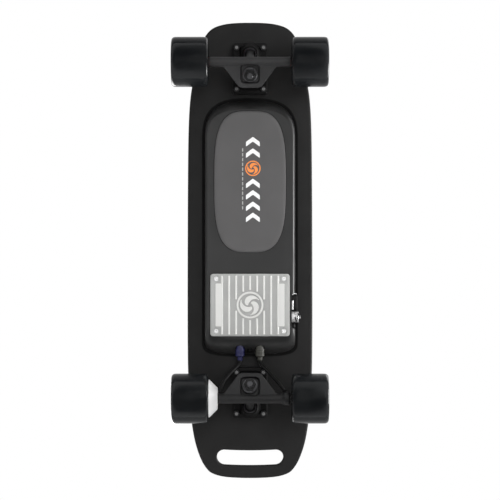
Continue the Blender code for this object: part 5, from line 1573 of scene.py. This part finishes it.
def make_front_wheel(side, materials):
    """The urethane roller on its spoked core, the bearings, and the axle nut with its washer."""
    wheel = wheel_frame("front", side)
    body = f"wheel_front_{side}"
    flank = [(0.0190, 0.0206), (0.0205, 0.0210), (0.0240, 0.0232), (0.0252, 0.0252), (0.0255, 0.0268)]
    flank += [(0.0250, 0.0274), (0.0252, 0.0281), (0.0264, 0.0287), (0.0272, 0.0295), (0.0275, 0.0306)]
    flank += [(0.0275, 0.0328), (0.0271, 0.0343), *TYRE_SHOULDER]
    tyre = turned(f"roller_front_{side}", both_sides(flank), wheel, materials["urethane"], 128)
    attach(tyre, body, "urethane", f"tyre_front_{side}")
    # A pale grey ring on the tyre's sidewall step: a painted highlight.
    highlight_band = ((0.0251, 0.0274), (0.0256, 0.0276), (0.0256, 0.0280), (0.0251, 0.0281))
    attach(turned(f"sidewall_painted_highlight_front_{side}", highlight_band, wheel, materials["print_grey_and_highlight"], 128), body, "urethane")

    rim = both_sides([(0.0186, 0.0184), (0.0190, 0.0190), (0.0190, 0.0203), (0.0180, 0.0206)])
    core = turned("core", rim, wheel, materials["core"], 96)
    hub = both_sides([(0.0176, 0.0112), (0.0180, 0.0118), (0.0176, 0.0131), (0.0150, 0.0137)])
    web = both_sides([(0.0035, 0.0125), (0.0030, 0.0190)])
    others = [turned("hub", hub, wheel, segments=96), turned("web", web, wheel, segments=96)]
    for index in range(CORE_SPOKES):
        angle = 2 * math.pi * index / CORE_SPOKES
        turn = wheel @ Matrix.Rotation(angle, 4, "Z")
        rings = []
        for reach, half, deep in SPOKE_SECTIONS:
            section = [(half, -deep + 0.0022), (0.0, -deep), (-half, -deep + 0.0022)]
            section += [(-half, deep - 0.0022), (0.0, deep), (half, deep - 0.0022)]
            rings.append([turn @ Vector((reach, across, along)) for across, along in section])
        others.append(loft("spoke", rings))
    combine(core, others, "UNION")
    core.name = f"spoked_core_{side}"
    attach(core, body, "core", f"core_front_{side}")

    race = [(0.0168, 0.0043), (0.0175, 0.0046), (0.0175, 0.0060), (0.0170, 0.0063), (0.0169, 0.0090)]
    race += [(0.0175, 0.0093), (0.0175, 0.0108), (0.0172, 0.0110), (0.0105, 0.0110), (0.0105, 0.0060)]
    bearing = turned(f"bearing_pair_{side}", both_sides(race), wheel, materials["steel"], 72)
    attach(bearing, body, "steel", f"bearings_front_{side}")
    shield = ((0.0169, 0.0064), (0.0172, 0.0066), (0.0172, 0.0087), (0.0169, 0.0089))
    attach(turned(f"bearing_shield_{side}", shield, wheel, materials["dark_steel"], 72), body, "steel")

    nut = hex_nut(0.0065, 0.0056, 0.0041, materials["dark_steel"])
    lock = copied("lock", nut, wheel @ Matrix.Translation((0, 0, 0.0188)))
    bpy.data.objects.remove(nut)
    collar = ((0.0240, 0.0042), (0.0240, 0.0050), (0.0246, 0.0049), (0.0246, 0.0042))
    pieces = [lock, turned("collar", collar, wheel, segments=48)]
    whole = merged(f"axle_lock_nut_{side}", pieces, materials["dark_steel"])
    attach(whole, "front_hanger", "steel", f"axle_nut_front_{side}")
    washer = ((0.0180, 0.0043), (0.0180, 0.0072), (0.0187, 0.0072), (0.0187, 0.0043))
    disc = turned(f"axle_washer_{side}", washer, wheel, materials["steel"], 56, 0.00015)
    attach(disc, "front_hanger", "steel")


def make_rear_wheel(side, materials):
    """A hub motor: the urethane sleeve, the turning can and the cover disc with its screws."""
    wheel = wheel_frame("rear", side)
    body = f"wheel_rear_{side}"
    outer = [(0.0241, 0.0303), (0.0241, 0.0314), (0.0268, 0.0314), (0.0275, 0.0319), (0.0275, 0.0330)]
    outer += [(0.0271, 0.0344), *TYRE_SHOULDER]
    inner = mirrored(TYRE_SHOULDER)
    inner += [(-0.0271, 0.0344), (-0.0275, 0.0330), (-0.0275, 0.0316), (-0.0268, 0.0303)]
    tyre = turned(f"roller_rear_{side}", outer + inner, wheel, materials["urethane"], 128)
    attach(tyre, body, "urethane", f"tyre_rear_{side}")
    can = (
        (-0.0250, 0.0078), (-0.0246, 0.0078), (-0.0220, 0.0078), (-0.0220, 0.0272), (0.0212, 0.0272),
        (0.0212, 0.0300), (-0.0238, 0.0300), (-0.0250, 0.0286), (-0.0250, 0.0180), (-0.0244, 0.0172),
        (-0.0244, 0.0125), (-0.0250, 0.0118),
    )
    shell = turned(f"motor_bell_{side}", can, wheel, materials["motor_cover"], 96, 0.0003)
    attach(shell, body, "black_metal", f"motor_can_rear_{side}")
    cover = [(0.0255, 0), (0.0255, 0.0080), (0.0215, 0.0080), (0.0215, 0.0298), (0.0243, 0.0298)]
    cover += [(0.0243, 0.0310), (0.0264, 0.0310), (0.0270, 0.0304), (0.0266, 0.0299), (0.0266, 0.0180)]
    cover += [(0.0271, 0.0172), (0.0271, 0.0150), (0.0269, 0.0142), (0.0269, 0)]
    disc = turned(f"motor_disc_{side}", cover, wheel, materials["motor_cover"], 128, 0.0002)
    places = []
    for index in range(COVER_SCREWS):
        turn = Matrix.Rotation(math.pi * (index / 3 + 1 / 6), 4, "Z")
        places.append(wheel @ turn @ Matrix.Translation((COVER_SCREW_RING, 0, 0)))
    wells = [turned("well", pin(0.0258, 0.0290, 0.0040), place, segments=40) for place in places]
    combine(disc, wells, "DIFFERENCE")
    attach(disc, body, "motor_cover", f"motor_cover_rear_{side}")
    band = ((0.0262, 0.0184), (0.02675, 0.0186), (0.02675, 0.0296), (0.0262, 0.0298))
    ring = turned("ring", band, wheel, materials["cover_ring"], 128)
    openings = [turned("opening", pin(0.020, 0.0290, 0.0042), place, segments=40) for place in places]
    combine(ring, openings, "DIFFERENCE")
    ring.name = f"motor_disc_ring_{side}"
    attach(ring, body, "motor_cover")
    spots = [place @ Matrix.Translation((0, 0, 0.0259)) for place in places]
    screws = placed_screws(f"motor_screws_{side}", 0.0036, 0.0012, spots, materials["dark_steel"])
    attach(screws, body, "steel")
    emblem = swirl(f"motor_emblem_{side}", (0, 0), 0.0125, 0.0267, 0.0273, materials["orange"], wheel)
    attach(emblem, body, "motor_cover")
    shaft = ((-0.0302, 0.0043), (0.0190, 0.0043), (0.0190, 0.0070), (-0.0298, 0.0070), (-0.0302, 0.0066))
    hollow = turned(f"motor_shaft_{side}", shaft, wheel, materials["black_steel"], 48)
    attach(hollow, "rear_hanger", "steel", f"motor_stator_rear_{side}")
    coils = [(-0.0200, 0.0071), (-0.0200, 0.0225), (-0.0150, 0.0245), (-0.0150, 0.0264), (0.0140, 0.0264)]
    coils += [(0.0140, 0.0245), (0.0190, 0.0225), (0.0190, 0.0071)]
    windings = turned(f"motor_windings_{side}", coils, wheel, materials["stator"], 72, 0.0008)
    attach(windings, "rear_hanger", "stator")


def make_motor_flange(materials):
    """The aluminium cone round the rear hanger's end, beside the right hub motor; its near-white colour is a
    painted highlight.
    """
    low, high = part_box("motor_flange_rear_right")
    centre = (low + high) / 2
    near, far = low.x, high.x
    wide = (high.z - low.z) / 2
    profile = [(far, FLANGE_BORE), (near, FLANGE_BORE), (near, FLANGE_NARROW - 0.0006)]
    profile += [(near + 0.0004, FLANGE_NARROW), (far - 0.0012, wide - 0.0002), (far - 0.0009, wide)]
    profile.append((far, wide))
    place = frame_along((0, centre.y, centre.z), (1, 0, 0))
    cone = turned("motor_flange", profile, place, materials["flange"], 96)
    attach(cone, "rear_hanger", "motor_flange", "motor_flange_rear_right")


# --- What stays from the CAD ----------------------------------------------------------------------


def finish_carried_nodes(materials):
    """Procedural materials on the nodes that are shown as they are: what the casing hides."""
    for node, finish in (("battery_pack", "cells"), ("motor_controller", "circuit_board")):
        mesh = NODES[node].data
        mesh.materials.clear()
        mesh.materials.append(materials[finish])


# --- Stage ----------------------------------------------------------------------------------------


def make_floor():
    """A pale floor under the wheels, see-through from below and fading out far from the board."""
    mesh = bpy.data.meshes.new("floor")
    reach = FLOOR_REACH
    corners = [(-reach, -reach, 0), (reach, -reach, 0), (reach, reach, 0), (-reach, reach, 0)]
    mesh.from_pydata(corners, [], [(0, 1, 2, 3)])
    floor = new_object("floor", mesh)
    floor.visible_shadow = False
    floor.location.z = -0.0002
    material = bpy.data.materials.new("pale_floor")
    material.use_nodes = True
    nodes = material.node_tree.nodes
    links = material.node_tree.links
    shader = nodes["Principled BSDF"]
    put(shader, {"Base Color": (0.80, 0.80, 0.80, 1.0), "Roughness": 0.7})
    clear = nodes.new("ShaderNodeBsdfTransparent")
    geometry = nodes.new("ShaderNodeNewGeometry")
    coordinates = nodes.new("ShaderNodeTexCoord")
    distance = nodes.new("ShaderNodeVectorMath")
    distance.operation = "LENGTH"
    fade = nodes.new("ShaderNodeMapRange")
    fade.interpolation_type = "SMOOTHSTEP"
    put(fade, {"From Min": 0.9, "From Max": 3.0})
    hidden = nodes.new("ShaderNodeMath")
    hidden.operation = "MAXIMUM"
    mix = nodes.new("ShaderNodeMixShader")
    links.new(coordinates.outputs["Object"], distance.inputs[0])
    links.new(distance.outputs["Value"], fade.inputs["Value"])
    links.new(geometry.outputs["Backfacing"], hidden.inputs[0])
    links.new(fade.outputs["Result"], hidden.inputs[1])
    links.new(hidden.outputs["Value"], mix.inputs["Fac"])
    links.new(shader.outputs["BSDF"], mix.inputs[1])
    links.new(clear.outputs["BSDF"], mix.inputs[2])
    links.new(mix.outputs["Shader"], nodes["Material Output"].inputs["Surface"])
    mesh.materials.append(material)


def make_world():
    """White to the eye. Its light is dim straight below and at the nose, brighter at the tail and above."""
    world = bpy.data.worlds.new("studio")
    bpy.context.scene.world = world
    world.use_nodes = True
    nodes = world.node_tree.nodes
    links = world.node_tree.links
    seen = nodes["Background"]
    put(seen, {"Color": (1.0, 1.0, 1.0, 1.0)})
    light = nodes.new("ShaderNodeBackground")
    direction = nodes.new("ShaderNodeTexCoord")
    split = nodes.new("ShaderNodeSeparateXYZ")
    links.new(direction.outputs["Generated"], split.inputs["Vector"])
    ramps = []
    for stops in (LIGHT_AT_NOSE, LIGHT_AT_TAIL):
        height = nodes.new("ShaderNodeMapRange")
        put(height, {"From Min": -1.0})
        links.new(split.outputs["Z"], height.inputs["Value"])
        ramp = nodes.new("ShaderNodeValToRGB")
        elements = ramp.color_ramp.elements
        for stop, (_, level) in zip((elements[0], elements[-1]), (stops[0], stops[-1])):
            stop.color = (level, level, level, 1.0)
        for position, level in stops[1:-1]:
            elements.new(position).color = (level, level, level, 1.0)
        links.new(height.outputs["Result"], ramp.inputs["Fac"])
        ramps.append(ramp)
    towards_tail = nodes.new("ShaderNodeMapRange")
    put(towards_tail, {"From Min": 0.1, "From Max": -0.5})
    links.new(split.outputs["Y"], towards_tail.inputs["Value"])
    blend = nodes.new("ShaderNodeMixRGB")
    links.new(towards_tail.outputs["Result"], blend.inputs["Fac"])
    links.new(ramps[0].outputs["Color"], blend.inputs["Color1"])
    links.new(ramps[1].outputs["Color"], blend.inputs["Color2"])
    links.new(blend.outputs["Color"], light.inputs["Color"])
    eye = nodes.new("ShaderNodeLightPath")
    mix = nodes.new("ShaderNodeMixShader")
    links.new(eye.outputs["Is Camera Ray"], mix.inputs["Fac"])
    links.new(light.outputs["Background"], mix.inputs[1])
    links.new(seen.outputs["Background"], mix.inputs[2])
    links.new(mix.outputs["Shader"], nodes["World Output"].inputs["Surface"])


def soft_light(name, place, target, size, power):
    """A rectangular lamp at a place, turned to its target."""
    data = bpy.data.lights.new(name, "AREA")
    data.shape = "RECTANGLE"
    data.size, data.size_y = size
    data.energy = power
    light = bpy.data.objects.new(name, data)
    bpy.context.scene.collection.objects.link(light)
    light.location = place
    light.rotation_euler = (Vector(target) - Vector(place)).to_track_quat("-Z", "Y").to_euler()


def make_stage():
    """The studio's world, floor and soft lights, and the camera straight under the board."""
    scene = bpy.context.scene
    scene.view_settings.view_transform = "Standard"
    make_world()
    make_floor()
    soft_light("top_key", (1.1, -0.9, 2.0), (0, 0, 0.1), (1.4, 1.4), 30)
    soft_light("top_fill", (-1.4, 0.8, 1.6), (0, 0, 0.1), (1.6, 1.6), 14)
    soft_light("under_key", (-0.60, 0.60, -2.1), (0, 0, 0.1), (1.2, 1.2), 31)
    soft_light("under_fill", (0.65, -0.60, -2.1), (0, 0, 0.1), (1.4, 1.4), 18)
    soft_light("side_strip", (-1.5, -0.15, 0.35), (0, -0.05, 0.1), (0.7, 1.1), 30)
    data = bpy.data.cameras.new("camera")
    camera = bpy.data.objects.new("camera", data)
    scene.collection.objects.link(camera)
    data.lens = CAMERA_LENS
    camera.location = (0, 0, DECK_UNDERSIDE - CAMERA_DISTANCE)
    camera.rotation_euler = (0, math.pi, 0)
    scene.camera = camera


materials = make_materials()
make_deck(materials)
make_grip(materials)
make_display(materials)
make_casing(materials)
make_button(materials)
make_casing_plugs(materials)
make_label(materials)
make_heatsink(materials)
make_side_fittings(materials)
make_motor_leads(materials)
for truck_end in ("front", "rear"):
    make_truck(truck_end, materials)
for wheel_side in ("left", "right"):
    make_front_wheel(wheel_side, materials)
    make_rear_wheel(wheel_side, materials)
make_motor_flange(materials)
finish_carried_nodes(materials)
make_stage()
